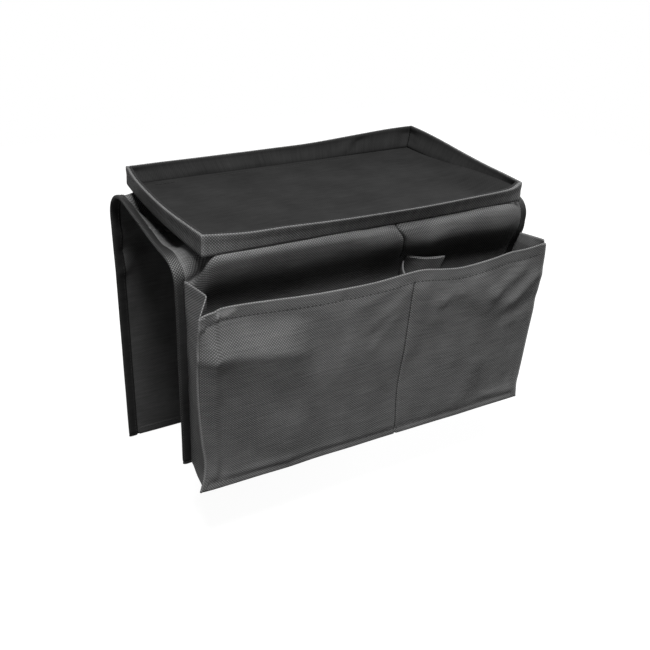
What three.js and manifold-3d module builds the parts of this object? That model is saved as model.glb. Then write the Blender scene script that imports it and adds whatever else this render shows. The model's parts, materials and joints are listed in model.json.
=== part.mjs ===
// Armrest organizer: a cloth saddle that lies over a sofa's armrest, with a stiff-rimmed tray on top,
// a plain flap behind and a flap with a bellows pocket in front.
// Millimetres, +Z up, +X along the armrest, -Y towards the pocket.
// The origin is on the underside of the saddle, midway between the two flaps.
import * as THREE from "three";
import { mergeVertices } from "three/addons/utils/BufferGeometryUtils.js";
import Module from "manifold-3d";

const wasm = await Module();
wasm.setup();

// Cloth and sewing
const CLOTH = 0.8; // one ply of non-woven cloth
const SEAM_GAP = 0.3; // air between two pieces that are sewn together
const PLEAT_GAP = 0.3; // further air where a pleated edge meets its seam at a slant
const BINDING_WIDTH = 10; // tape along the saddle's two ends, on each face
const HEM_WIDTH = 10; // turned hem along the bottom of each flap

// Saddle and flaps
const SADDLE_OVERHANG = 15; // cloth past each end of the tray, without the binding
const ARMREST_WIDTH = 166; // between the inner faces of the two flaps
const REAR_FOLD_RADIUS = 16;
const FRONT_FOLD_RADIUS = 16;
const FRONT_ROLL = 10; // the front fold rolls out this far past the flap below it
const FRONT_ROLL_DROP = 30; // height over which the roll runs back to the flap
const REAR_DROP = 281; // seat to the rear flap's bottom edge
const FRONT_DROP = 203; // seat to the front flap's bottom edge
const BINDING_TAIL = 1.5; // the bindings end this far below the hems

// Tray
const TRAY_LENGTH = 320;
const TRAY_DEPTH = 184;
const TRAY_FORWARD = 12; // the tray's middle lies this far towards the pocket
const RIM_HEIGHT = 20;
const FRONT_RIM_BOW = 5; // the middle of the front rim leans out this far past its foot
const FRONT_RIM_SAG = 3; // and hangs this far below its corners
const SIDE_RIM_BOW = 4;
const SIDE_RIM_SAG = 2.5;
const STAY_THICKNESS = 2.5;
const BOARD_THICKNESS = 3;

// Bellows pocket
const LIP_DROP = 31; // seat to the lip of the pocket
const POCKET_DEPTH = 40; // flap to front panel, along the bottom
const POCKET_LEAN = THREE.MathUtils.degToRad(1.6); // the front panel leans out towards its lip
const POCKET_RISE = 3; // bottom gusset above the flap's bottom edge
const POCKET_OVERHANG = 9; // each side of the front panel past the gusset's seam on the flap
const PANEL_BELLY = 4; // the front panel swells this far
const LIP_DIP = 8; // the lip sags between the divider and the right gusset
const LIP_DIP_CENTRE = 82;
const LIP_DIP_HALF_WIDTH = 48;
const LIP_HEM = 12;
const ALLOWANCE = 6; // seam allowance below the front panel's bottom seam
const WELT_WIDTH = 5; // turned seam along each side of the front panel
const PLEAT_TOP = 13; // the gussets are drawn in this far at the mouth
const PLEAT_BOTTOM = 3; // and this far at the bottom
const GUSSET_TOP_DROP = 34; // seat to the gussets' top end on the flap

// Divider web and small pocket on the flap
const DIVIDER_FLAP_X = 41;
const DIVIDER_FRONT_X = 25;
const DIVIDER_BOW = 5;
const DIVIDER_TOP_DROP = 40;
const PEN_POCKET_LEFT = 46;
const PEN_POCKET_WIDTH = 46;
const PEN_POCKET_LEFT_DROP = 41; // seat to the mouth at its left end
const PEN_POCKET_SLOPE = 9; // the mouth is this much lower at its right end
const PEN_POCKET_HEIGHT = 120;
const PEN_POCKET_GAPE = 13;
const PEN_POCKET_HEM = 8;

// Fineness of bends and of swelling cloth
const BEND_STEP = Math.PI / 14;
const PANEL_COLUMNS = 36;
const CLOTH_ROWS = 10;
const PLEAT_COLUMNS = 8;
const RIM_COLUMNS = 8;

// Levels across the cloth, counted outwards from the face that lies on the armrest
const OUTER_PLY = CLOTH + SEAM_GAP;
const CLOTH_FACE = OUTER_PLY + CLOTH;
const TAPE_LEG = CLOTH_FACE + SEAM_GAP;
const TAPE_FACE = TAPE_LEG + CLOTH;

// Planes and lines that several pieces share
const HALF_WIDTH = TRAY_LENGTH / 2 + SADDLE_OVERHANG;
const HALF_ARMREST = ARMREST_WIDTH / 2;
const FRONT_NOSE = HALF_ARMREST + FRONT_ROLL;
const ROLL_ANGLE = 2 * Math.atan(FRONT_ROLL / FRONT_ROLL_DROP);
const ROLL_RADIUS = FRONT_ROLL_DROP / (2 * Math.sin(ROLL_ANGLE));
const ROLL_END = -FRONT_FOLD_RADIUS - SEAM_GAP - FRONT_ROLL_DROP;
const GUSSET_X = HALF_WIDTH - BINDING_WIDTH - SEAM_GAP - CLOTH / 2;
const PANEL_HALF_WIDTH = GUSSET_X + POCKET_OVERHANG + CLOTH / 2;
const POCKET_BACK = -(HALF_ARMREST + TAPE_FACE + SEAM_GAP + PLEAT_GAP);
const HINGE_Y = -(HALF_ARMREST + TAPE_FACE + SEAM_GAP + POCKET_DEPTH);
const HINGE_Z = POCKET_RISE - FRONT_DROP;
const PANEL_HEIGHT = (-LIP_DROP - HINGE_Z) / Math.cos(POCKET_LEAN);
const TRAY_Z = CLOTH_FACE + SEAM_GAP;

const cloth = new THREE.MeshStandardMaterial({ color: 0x2b2b2d, roughness: 0.92, metalness: 0 });
const lining = new THREE.MeshStandardMaterial({ color: 0x1d1d1f, roughness: 0.95, metalness: 0 });
const tape = new THREE.MeshStandardMaterial({ color: 0x161617, roughness: 0.85, metalness: 0 });
const board = new THREE.MeshStandardMaterial({ color: 0x6b4f34, roughness: 0.9, metalness: 0 });
const stay = new THREE.MeshStandardMaterial({ color: 0x3a3a3c, roughness: 0.6, metalness: 0 });

// A run of cloth seen from its end, walked as straight stretches and round bends.
// Offsets count to the right of the walk.
class ClothPath {
  constructor(start, heading) {
    this.at = start.clone();
    this.heading = heading;
    this.stations = [];
    this.mark();
  }

  left() {
    return new THREE.Vector2(-Math.sin(this.heading), Math.cos(this.heading));
  }

  mark() {
    this.stations.push({ at: this.at.clone(), right: this.left().negate() });
    return this;
  }

  straight(length) {
    const ahead = new THREE.Vector2(Math.cos(this.heading), Math.sin(this.heading));
    this.at.addScaledVector(ahead, length);
    return this.mark();
  }

  // Bends left through a positive angle and right through a negative one.
  bend(radius, angle) {
    const reach = radius * Math.sign(angle);
    const centre = this.at.clone().addScaledVector(this.left(), reach);
    const steps = Math.ceil(Math.abs(angle) / BEND_STEP);
    for (let step = 0; step < steps; step += 1) {
      this.heading += angle / steps;
      this.at.copy(centre).addScaledVector(this.left(), -reach);
      this.mark();
    }
    return this;
  }

  edge(offset) {
    return this.stations.map((station) => station.at.clone().addScaledVector(station.right, offset));
  }

  // The closed outline between two offsets.
  band(near, far) {
    return new THREE.Shape([...this.edge(near), ...this.edge(far).reverse()]);
  }
}

const UP = Math.PI / 2;
const DOWN = -Math.PI / 2;
const QUARTER = Math.PI / 2;

// Maps a (y, z) outline, and the depth it is extruded by, to the part's axes.
const ACROSS = new THREE.Matrix4().makeBasis(
  new THREE.Vector3(0, 1, 0),
  new THREE.Vector3(0, 0, 1),
  new THREE.Vector3(1, 0, 0),
);

function extrudeAlongX(outline, start, end) {
  const geometry = new THREE.ExtrudeGeometry(outline, { depth: end - start, bevelEnabled: false });
  return geometry.applyMatrix4(ACROSS).translate(start, 0, 0);
}

function slab(width, depth, bottom, thickness) {
  return new THREE.BoxGeometry(width, depth, thickness).translate(0, 0, bottom + thickness / 2);
}

function toSolid(geometry) {
  const bare = geometry.clone();
  bare.deleteAttribute("normal");
  bare.deleteAttribute("uv");
  const merged = mergeVertices(bare, 1e-4);
  return new wasm.Manifold(
    new wasm.Mesh({
      numProp: 3,
      vertProperties: new Float32Array(merged.attributes.position.array),
      triVerts: new Uint32Array(merged.index.array),
    }),
  );
}

function facetedGeometry(positions, index) {
  const geometry = new THREE.BufferGeometry();
  geometry.setAttribute("position", new THREE.Float32BufferAttribute(positions, 3));
  geometry.setIndex([...index]);
  const faceted = geometry.toNonIndexed();
  faceted.computeVertexNormals();
  return faceted;
}

function toGeometry(solid) {
  const mesh = solid.getMesh();
  return facetedGeometry(mesh.vertProperties, mesh.triVerts);
}

function addPart(group, name, geometry, material) {
  const mesh = new THREE.Mesh(geometry, material);
  mesh.name = name;
  group.add(mesh);
  return mesh;
}

// A closed ply of cloth over the surface at(u, v), with u and v from 0 to 1.
// Its outer face looks along the cross product of the u and v directions, and lift raises it that way.
function clothOver(at, columns, rows, lift = 0) {
  const nudge = 1e-3;
  const positions = [];
  const index = [];
  const vertex = (i, j, side) => (side * (rows + 1) + j) * (columns + 1) + i;
  const quad = (a, b, c, d) => index.push(a, b, c, a, c, d);
  for (const side of [0, 1]) {
    for (let j = 0; j <= rows; j += 1) {
      for (let i = 0; i <= columns; i += 1) {
        const u = i / columns;
        const v = j / rows;
        const alongU = at(Math.min(u + nudge, 1), v).sub(at(Math.max(u - nudge, 0), v));
        const alongV = at(u, Math.min(v + nudge, 1)).sub(at(u, Math.max(v - nudge, 0)));
        const normal = alongU.cross(alongV).normalize();
        positions.push(...at(u, v).addScaledVector(normal, lift + (side - 0.5) * CLOTH));
      }
    }
  }
  for (let j = 0; j < rows; j += 1) {
    for (let i = 0; i < columns; i += 1) {
      quad(vertex(i, j, 1), vertex(i + 1, j, 1), vertex(i + 1, j + 1, 1), vertex(i, j + 1, 1));
      quad(vertex(i, j + 1, 0), vertex(i + 1, j + 1, 0), vertex(i + 1, j, 0), vertex(i, j, 0));
    }
  }
  for (let i = 0; i < columns; i += 1) {
    quad(vertex(i, 0, 0), vertex(i + 1, 0, 0), vertex(i + 1, 0, 1), vertex(i, 0, 1));
    quad(vertex(i, rows, 1), vertex(i + 1, rows, 1), vertex(i + 1, rows, 0), vertex(i, rows, 0));
  }
  for (let j = 0; j < rows; j += 1) {
    quad(vertex(0, j, 1), vertex(0, j + 1, 1), vertex(0, j + 1, 0), vertex(0, j, 0));
    quad(vertex(columns, j, 0), vertex(columns, j + 1, 0), vertex(columns, j + 1, 1), vertex(columns, j, 1));
  }
  return facetedGeometry(positions, index);
}

// Paths of the cloth where it lies on the armrest, walked from the rear to the front.
function saddlePath() {
  const flat = HALF_ARMREST - REAR_FOLD_RADIUS + FRONT_NOSE - FRONT_FOLD_RADIUS;
  return new ClothPath(new THREE.Vector2(HALF_ARMREST, -REAR_FOLD_RADIUS), UP)
    .bend(REAR_FOLD_RADIUS, QUARTER)
    .straight(flat)
    .bend(FRONT_FOLD_RADIUS, QUARTER);
}

function rearFlapPath(bottomDrop) {
  const start = new THREE.Vector2(HALF_ARMREST, -bottomDrop);
  return new ClothPath(start, UP).straight(bottomDrop - REAR_FOLD_RADIUS - SEAM_GAP);
}

function frontFlapPath(bottomDrop) {
  const start = new THREE.Vector2(-FRONT_NOSE, -FRONT_FOLD_RADIUS - SEAM_GAP);
  return new ClothPath(start, DOWN)
    .bend(ROLL_RADIUS, ROLL_ANGLE)
    .bend(ROLL_RADIUS, -ROLL_ANGLE)
    .straight(bottomDrop + ROLL_END);
}

// The outer face of the front flap at a height below the middle of its roll.
function frontFlapFace(z) {
  const above = Math.max(0, z - ROLL_END);
  const radius = ROLL_RADIUS - CLOTH_FACE;
  return -HALF_ARMREST - ROLL_RADIUS + Math.sqrt(radius * radius - above * above);
}

// A folded tape over one end of the outer ply, its inner leg level with the lining.
function bindingGeometry(path, side) {
  const edge = side * HALF_WIDTH;
  const inner = edge - side * BINDING_WIDTH;
  const outer = edge + side * (SEAM_GAP + CLOTH);
  const wall = edge + side * SEAM_GAP;
  const strip = (near, far, from, to) =>
    toSolid(extrudeAlongX(path.band(near, far), Math.min(from, to), Math.max(from, to)));
  const innerLeg = strip(0, CLOTH, inner, outer);
  const outerLeg = strip(TAPE_LEG, TAPE_FACE, inner, outer);
  const fold = strip(0, TAPE_FACE, wall, outer);
  return toGeometry(innerLeg.add(outerLeg).add(fold));
}

// A hem folded round the bottom edge of the outer ply, seen from its end with the fold down.
function hemOutline(wallY, outward, bottomDrop) {
  const slot = TAPE_LEG - CLOTH;
  const bendRadius = slot / 2;
  const leg = HEM_WIDTH - bendRadius - CLOTH;
  const start = new THREE.Vector2(wallY + outward * CLOTH, HEM_WIDTH - bottomDrop);
  const folded = new ClothPath(start, DOWN).straight(leg).bend(bendRadius, outward * Math.PI).straight(leg);
  return folded.band(0, outward * CLOTH);
}

const LINING_HALF_WIDTH = HALF_WIDTH - BINDING_WIDTH - SEAM_GAP;
const HEM_HALF_WIDTH = LINING_HALF_WIDTH;
const SIDES = { left: -1, right: 1 };

function buildSaddle() {
  const group = new THREE.Group();
  const path = saddlePath();
  const outer = path.band(OUTER_PLY, CLOTH_FACE);
  addPart(group, "saddle_outer", extrudeAlongX(outer, -HALF_WIDTH, HALF_WIDTH), cloth);
  const inner = path.band(0, CLOTH);
  addPart(group, "saddle_lining", extrudeAlongX(inner, -LINING_HALF_WIDTH, LINING_HALF_WIDTH), lining);
  for (const [name, side] of Object.entries(SIDES)) {
    addPart(group, `saddle_binding_${name}`, bindingGeometry(path, side), tape);
  }
  return group;
}

// A flap is an outer ply whose bottom sits in the hem's fold, a lining that ends above the hem, two
// bindings and the hem.
function addFlap(group, prefix, pathTo, drop, wallY, outward) {
  const ply = pathTo(drop - CLOTH - SEAM_GAP).band(OUTER_PLY, CLOTH_FACE);
  addPart(group, `${prefix}_outer`, extrudeAlongX(ply, -HALF_WIDTH, HALF_WIDTH), cloth);
  const inner = pathTo(drop - HEM_WIDTH - SEAM_GAP).band(0, CLOTH);
  addPart(group, `${prefix}_lining`, extrudeAlongX(inner, -LINING_HALF_WIDTH, LINING_HALF_WIDTH), lining);
  for (const [name, side] of Object.entries(SIDES)) {
    addPart(group, `${prefix}_binding_${name}`, bindingGeometry(pathTo(drop + BINDING_TAIL), side), tape);
  }
  const hem = hemOutline(wallY, outward, drop);
  addPart(group, `${prefix}_hem`, extrudeAlongX(hem, -HEM_HALF_WIDTH, HEM_HALF_WIDTH), tape);
}

// One side of the rim: a cloth sleeve over a stiff stay, mitred at both ends.
// Built along X with its outer face at y = 0 and the tray towards +Y.
const SLEEVE_THICKNESS = STAY_THICKNESS + 2 * (SEAM_GAP + CLOTH);
const SLEEVE_BOTTOM = CLOTH + SEAM_GAP;

// Sweeps a clockwise (y, z) outline along the wall. The foot stays straight, the rim bows out and sags.
function rimGeometry(outline, wall) {
  const half = wall.length / 2;
  const ring = outline.length;
  const positions = [];
  const index = [];
  for (let column = 0; column <= RIM_COLUMNS; column += 1) {
    const along = (2 * column) / RIM_COLUMNS - 1;
    for (const { x: y, y: z } of outline) {
      const x = along * (half - SEAM_GAP - y);
      const height = (z - SLEEVE_BOTTOM) / (RIM_HEIGHT - SLEEVE_BOTTOM);
      const slack = height * (1 - (x / half) ** 2);
      positions.push(x, y - wall.bow * slack, z - wall.sag * slack);
    }
  }
  for (let column = 0; column < RIM_COLUMNS; column += 1) {
    for (let corner = 0; corner < ring; corner += 1) {
      const next = (corner + 1) % ring;
      const a = column * ring + corner;
      const b = column * ring + next;
      // Each twisted face is split from its lower edge to its upper one, which keeps sleeve and stay apart.
      if (outline[next].y > outline[corner].y) {
        index.push(a, a + ring, b + ring, a, b + ring, b);
      } else {
        index.push(a, a + ring, b, a + ring, b + ring, b);
      }
    }
  }
  const last = RIM_COLUMNS * ring;
  for (const [a, b, c] of THREE.ShapeUtils.triangulateShape(outline, [])) {
    index.push(c, b, a, last + a, last + b, last + c);
  }
  return facetedGeometry(positions, index);
}

function sleeveGeometry(wall) {
  const bendRadius = SLEEVE_THICKNESS / 2 - CLOTH;
  const leg = RIM_HEIGHT - SLEEVE_BOTTOM - SLEEVE_THICKNESS / 2;
  const section = new ClothPath(new THREE.Vector2(CLOTH, SLEEVE_BOTTOM), UP)
    .straight(leg)
    .bend(bendRadius, -Math.PI)
    .straight(leg);
  return rimGeometry([...section.edge(0).reverse(), ...section.edge(-CLOTH)], wall);
}

function stayGeometry(wall) {
  const middle = new THREE.Vector2(SLEEVE_THICKNESS / 2, SLEEVE_BOTTOM);
  const section = new ClothPath(middle, UP).straight(RIM_HEIGHT - SLEEVE_BOTTOM - SLEEVE_THICKNESS / 2);
  const outline = [...section.edge(-STAY_THICKNESS / 2), ...section.edge(STAY_THICKNESS / 2).reverse()];
  return rimGeometry(outline, wall);
}

function buildTray() {
  const group = new THREE.Group();
  group.position.set(0, -TRAY_FORWARD, TRAY_Z);
  const inset = 2 * (SLEEVE_THICKNESS + SEAM_GAP);
  const inner = { length: TRAY_LENGTH - inset, depth: TRAY_DEPTH - inset };
  const boardBottom = CLOTH + SEAM_GAP;
  const floorBottom = boardBottom + BOARD_THICKNESS + SEAM_GAP;
  addPart(group, "tray_under_cover", slab(TRAY_LENGTH, TRAY_DEPTH, 0, CLOTH), lining);
  addPart(group, "tray_board", slab(inner.length, inner.depth, boardBottom, BOARD_THICKNESS), board);
  addPart(group, "tray_floor_cover", slab(inner.length, inner.depth, floorBottom, CLOTH), cloth);
  const long = { length: TRAY_LENGTH, distance: TRAY_DEPTH / 2 };
  const short = { length: TRAY_DEPTH, distance: TRAY_LENGTH / 2, bow: SIDE_RIM_BOW, sag: SIDE_RIM_SAG };
  const walls = [
    { ...long, name: "front", turn: 0, bow: FRONT_RIM_BOW, sag: FRONT_RIM_SAG },
    { ...short, name: "right", turn: QUARTER },
    { ...long, name: "rear", turn: 2 * QUARTER, bow: 0, sag: 0 },
    { ...short, name: "left", turn: 3 * QUARTER },
  ];
  for (const wall of walls) {
    const side = new THREE.Group();
    side.rotation.z = wall.turn;
    side.position.set(wall.distance * Math.sin(wall.turn), -wall.distance * Math.cos(wall.turn), 0);
    addPart(side, `tray_sleeve_${wall.name}`, sleeveGeometry(wall), cloth);
    addPart(side, `tray_stay_${wall.name}`, stayGeometry(wall), stay);
    group.add(side);
  }
  return group;
}

function buildRearFlap() {
  const group = new THREE.Group();
  addFlap(group, "rear_flap", rearFlapPath, REAR_DROP, HALF_ARMREST, 1);
  return group;
}

// The front panel in its own frame: the bottom seam runs along X at the origin and z follows the cloth.
function lipHeight(x) {
  const across = Math.min(1, Math.abs(x - LIP_DIP_CENTRE) / LIP_DIP_HALF_WIDTH);
  return PANEL_HEIGHT - (LIP_DIP * (1 + Math.cos(Math.PI * across))) / 2;
}

function bellyAt(x, z) {
  const across = Math.cos((QUARTER * x) / PANEL_HALF_WIDTH);
  const rise = THREE.MathUtils.clamp(z / PANEL_HEIGHT, 0, 1);
  return PANEL_BELLY * across * Math.sin(Math.PI * rise);
}

function panelPoint(x, z, inside) {
  return new THREE.Vector3(x, inside - bellyAt(x, z), z);
}

// The same point as the front flap sees it, with the panel leaning out.
function leaningPoint(x, z, inside) {
  const lean = new THREE.Matrix4().makeRotationX(POCKET_LEAN).setPosition(0, HINGE_Y, HINGE_Z);
  return panelPoint(x, z, inside).applyMatrix4(lean);
}

const PLEAT_EDGE = CLOTH / 2 + SEAM_GAP + PLEAT_GAP;
const HEM_MIDDLE = CLOTH + SEAM_GAP;
const DIVIDER_EDGE = HEM_MIDDLE + CLOTH / 2 + SEAM_GAP;
const GUSSET_BASE = CLOTH / 2 + SEAM_GAP + PLEAT_GAP;

// A web of cloth from the flap to the front panel, drawn aside in the middle of its width.
function webGeometry(web) {
  const at = (u, v) => {
    const backZ = THREE.MathUtils.lerp(HINGE_Z + GUSSET_BASE, -web.backTopDrop, v);
    const backY = Math.min(POCKET_BACK, frontFlapFace(backZ) - SEAM_GAP - PLEAT_GAP);
    const back = new THREE.Vector3(web.backX, backY, backZ);
    const frontZ = THREE.MathUtils.lerp(GUSSET_BASE, web.frontTop, v);
    const front = leaningPoint(web.frontX, frontZ, web.frontInside);
    const draw = THREE.MathUtils.lerp(web.drawBottom, web.drawTop, v) * Math.sin(Math.PI * u);
    const point = back.lerp(front, u);
    point.x += draw;
    return point;
  };
  return clothOver(at, PLEAT_COLUMNS, CLOTH_ROWS);
}

function gussetGeometry(side) {
  return webGeometry({
    backX: side * GUSSET_X,
    frontX: side * (PANEL_HALF_WIDTH - CLOTH / 2),
    backTopDrop: GUSSET_TOP_DROP,
    frontTop: PANEL_HEIGHT,
    frontInside: PLEAT_EDGE,
    drawTop: -side * PLEAT_TOP,
    drawBottom: -side * PLEAT_BOTTOM,
  });
}

function dividerGeometry() {
  return webGeometry({
    backX: DIVIDER_FLAP_X,
    frontX: DIVIDER_FRONT_X,
    backTopDrop: DIVIDER_TOP_DROP,
    frontTop: PANEL_HEIGHT - (DIVIDER_TOP_DROP - LIP_DROP),
    frontInside: DIVIDER_EDGE,
    drawTop: -DIVIDER_BOW,
    drawBottom: 0,
  });
}

function bottomGussetGeometry() {
  const back = POCKET_BACK + PLEAT_GAP;
  const front = HINGE_Y + PLEAT_EDGE;
  const frontHalf = PANEL_HALF_WIDTH - CLOTH;
  const plan = new THREE.Shape([
    new THREE.Vector2(-frontHalf, front),
    new THREE.Vector2(frontHalf, front),
    new THREE.Vector2(GUSSET_X, back),
    new THREE.Vector2(-GUSSET_X, back),
  ]);
  const geometry = new THREE.ExtrudeGeometry(plan, { depth: CLOTH, bevelEnabled: false });
  return geometry.translate(0, 0, HINGE_Z - CLOTH / 2);
}

// The small pocket's front ply, or a strip below its mouth that lies on it.
function penPocketGeometry(depthFromMouth, rows, lift) {
  const at = (u, v) => {
    const x = PEN_POCKET_LEFT + PEN_POCKET_WIDTH * u;
    const below = depthFromMouth * (1 - v);
    const z = -PEN_POCKET_LEFT_DROP - PEN_POCKET_SLOPE * u - below;
    const open = 1 - below / PEN_POCKET_HEIGHT;
    const swell = PEN_POCKET_GAPE * open * Math.sin(Math.PI * u);
    return new THREE.Vector3(x, frontFlapFace(z) - HEM_MIDDLE - swell, z);
  };
  return clothOver(at, PLEAT_COLUMNS, rows, lift);
}

function buildPocketFront() {
  const group = new THREE.Group();
  group.position.set(0, HINGE_Y, HINGE_Z);
  group.rotation.x = POCKET_LEAN;
  const strip = (halfWidth, inside, bottom, rows) =>
    clothOver(
      (u, v) => {
        const x = THREE.MathUtils.lerp(-halfWidth, halfWidth, u);
        return panelPoint(x, THREE.MathUtils.lerp(bottom(x), lipHeight(x), v), inside);
      },
      PANEL_COLUMNS,
      rows,
    );
  addPart(group, "pocket_panel", strip(PANEL_HALF_WIDTH, 0, () => -ALLOWANCE, CLOTH_ROWS), cloth);
  const hemHalf = PANEL_HALF_WIDTH - CLOTH - SEAM_GAP - PLEAT_GAP - HEM_MIDDLE;
  addPart(group, "pocket_lip_hem", strip(hemHalf, HEM_MIDDLE, (x) => lipHeight(x) - LIP_HEM, 2), cloth);
  const weltHeight = PANEL_HEIGHT + ALLOWANCE;
  for (const [name, side] of Object.entries(SIDES)) {
    const welt = new THREE.BoxGeometry(CLOTH, WELT_WIDTH, weltHeight);
    const x = side * (PANEL_HALF_WIDTH + SEAM_GAP + CLOTH / 2);
    welt.translate(x, 0, weltHeight / 2 - ALLOWANCE);
    addPart(group, `pocket_welt_${name}`, welt, tape);
  }
  const strapTop = -GUSSET_BASE - CLOTH / 2;
  const strap = slab(2 * hemHalf, CLOTH, -ALLOWANCE, ALLOWANCE + strapTop).translate(0, HEM_MIDDLE, 0);
  addPart(group, "pocket_welt_bottom", strap, tape);
  return group;
}

function buildFrontFlap() {
  const group = new THREE.Group();
  addFlap(group, "front_flap", frontFlapPath, FRONT_DROP, -HALF_ARMREST, -1);
  addPart(group, "pen_pocket", penPocketGeometry(PEN_POCKET_HEIGHT, CLOTH_ROWS, 0), cloth);
  addPart(group, "pen_pocket_hem", penPocketGeometry(PEN_POCKET_HEM, 1, CLOTH + SEAM_GAP), tape);
  addPart(group, "pocket_gusset_left", gussetGeometry(-1), cloth);
  addPart(group, "pocket_gusset_right", gussetGeometry(1), cloth);
  addPart(group, "pocket_gusset_bottom", bottomGussetGeometry(), cloth);
  addPart(group, "pocket_divider", dividerGeometry(), lining);
  group.add(buildPocketFront());
  return group;
}

const organizer = new THREE.Group();
organizer.add(buildSaddle(), buildTray(), buildRearFlap(), buildFrontFlap());

export default organizer;
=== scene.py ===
"""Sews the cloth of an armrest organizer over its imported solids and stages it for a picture.

Lengths are metres in the row frame: X runs along the armrest, -Y is the pocket side and +Z is up.
Lists of points and folds are in millimetres, as a pattern cutter would note them.
"""

import json
import math

import bpy
import numpy as np
from mathutils import Matrix, Vector


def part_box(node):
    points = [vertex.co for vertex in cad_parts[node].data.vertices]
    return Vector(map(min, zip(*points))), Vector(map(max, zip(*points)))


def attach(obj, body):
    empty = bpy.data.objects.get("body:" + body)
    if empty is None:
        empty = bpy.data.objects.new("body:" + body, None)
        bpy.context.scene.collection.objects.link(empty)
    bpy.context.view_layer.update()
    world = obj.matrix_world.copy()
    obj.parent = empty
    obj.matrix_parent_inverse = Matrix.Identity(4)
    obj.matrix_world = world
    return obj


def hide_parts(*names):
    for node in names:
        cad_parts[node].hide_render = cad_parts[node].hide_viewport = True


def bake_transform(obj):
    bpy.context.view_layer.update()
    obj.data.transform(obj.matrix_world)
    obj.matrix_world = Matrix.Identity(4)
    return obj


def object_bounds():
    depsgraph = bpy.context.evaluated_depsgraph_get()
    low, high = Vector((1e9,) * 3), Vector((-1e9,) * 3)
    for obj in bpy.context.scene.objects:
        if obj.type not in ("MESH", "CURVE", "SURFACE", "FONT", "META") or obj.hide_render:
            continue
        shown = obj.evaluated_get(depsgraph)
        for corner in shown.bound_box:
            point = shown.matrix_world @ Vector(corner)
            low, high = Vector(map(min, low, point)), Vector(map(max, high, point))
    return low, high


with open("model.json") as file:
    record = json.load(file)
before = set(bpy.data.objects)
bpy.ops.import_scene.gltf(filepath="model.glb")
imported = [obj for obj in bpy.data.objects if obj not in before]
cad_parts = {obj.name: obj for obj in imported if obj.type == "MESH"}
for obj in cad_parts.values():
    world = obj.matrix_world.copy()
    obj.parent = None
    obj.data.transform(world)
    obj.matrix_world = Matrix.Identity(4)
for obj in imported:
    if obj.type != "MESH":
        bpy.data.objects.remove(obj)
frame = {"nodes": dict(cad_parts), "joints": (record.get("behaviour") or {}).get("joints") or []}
CAD_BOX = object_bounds()

bl_info = {
    "name": "Armrest organizer",
    "version": (1, 0, 0),
    "blender": (4, 5, 0),
    "location": "View3D > Sidebar > Organizer",
    "description": "Sews the organizer's cloth over its packed solids",
    "category": "Object",
}

MM = 0.001
CLOTH_MAP = "cloth"  # UV map in metres along and across the cloth
HIGHLIGHT_LAYER = "painted_highlight"  # share of each point that gets a painted highlight, where a fold's edge would catch the light
SPLINE_STEPS = 400
SIDES = {"left": -1, "right": 1}
UPWARDS = (0, 0, 1)
FORWARDS = (0, -1, 0)
WHITE = (1, 1, 1, 1)

# Places that the frame gives
TRAY_WALLS = ("front", "rear", "left", "right")
JOINTS = {joint["name"]: joint for joint in frame["joints"]}


def joined_box(nodes):
    """Lowest and highest corner of several CAD nodes together."""
    boxes = [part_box(node) for node in nodes]
    low = [min(box[0][axis] for box in boxes) for axis in range(3)]
    high = [max(box[1][axis] for box in boxes) for axis in range(3)]
    return Vector(low), Vector(high)


TRAY_LOW, TRAY_HIGH = joined_box(("tray_under_cover", "tray_sleeve_rear"))
TRAY_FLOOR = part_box("tray_floor_cover")[1].z
CLOTH_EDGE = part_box("saddle_outer")[1].x
FRONT_FLAP_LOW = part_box("front_flap_outer")[0]
REAR_FLAP_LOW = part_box("rear_flap_outer")[0]
PANEL_LOW, PANEL_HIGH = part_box("pocket_panel")
PANEL_HALF = PANEL_HIGH.x
PANEL_BOTTOM = PANEL_LOW.z
POCKET_HINGE = Vector(JOINTS["pocket_mouth"]["pos_m"])
LINING_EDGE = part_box("front_flap_lining")[1].x
ARMREST_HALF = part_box("rear_flap_lining")[0].y

# Cloth and its two plies
PLY = 0.8 * MM
DOUBLE_PLY = 1.9 * MM
MIDDLE_LAYER = DOUBLE_PLY / 2
FLAP_FACE = ARMREST_HALF + MIDDLE_LAYER
SEWN_GAP = 0.7 * MM  # air between the flap and the cloth that is sewn on it

# Unevenness of hung cloth, and the closer steps of a mesh round a seam
RIPPLE_WAVES = 6
RIPPLE_SPREAD = (0.7, 1.6)  # shares of a ripple's size between which its waves are drawn
FINE_STEPS = np.array([-3.5, -2, -1.1, -0.5, 0, 0.5, 1.1, 2, 3.5]) * MM
FINE_CLEAR = 4.2 * MM

# Grain of the finishes, as noise per metre of cloth
FIBRE_SCALE = 1500
CLOUD_SCALE = 26
BRUSHED_SCALE = (40, 420, 1)
FUZZ_SCALE = 2600
GRAIN_DEPTH = 0.1 * MM  # height of the grain of threads and stiffeners

# One stitch: rings as (share of its half length, share of its radius), then shares of its radius
STITCH_RINGS = ((-1, 0.35), (-0.62, 1), (0.62, 1), (1, 0.35))
STITCH_SIDES = 6
STITCH_STAND = 0.3  # by which its middle stands off the cloth
STITCH_DIP = 0.9  # by which its two ends go down
STITCH_WIDTH = 1.25

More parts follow.
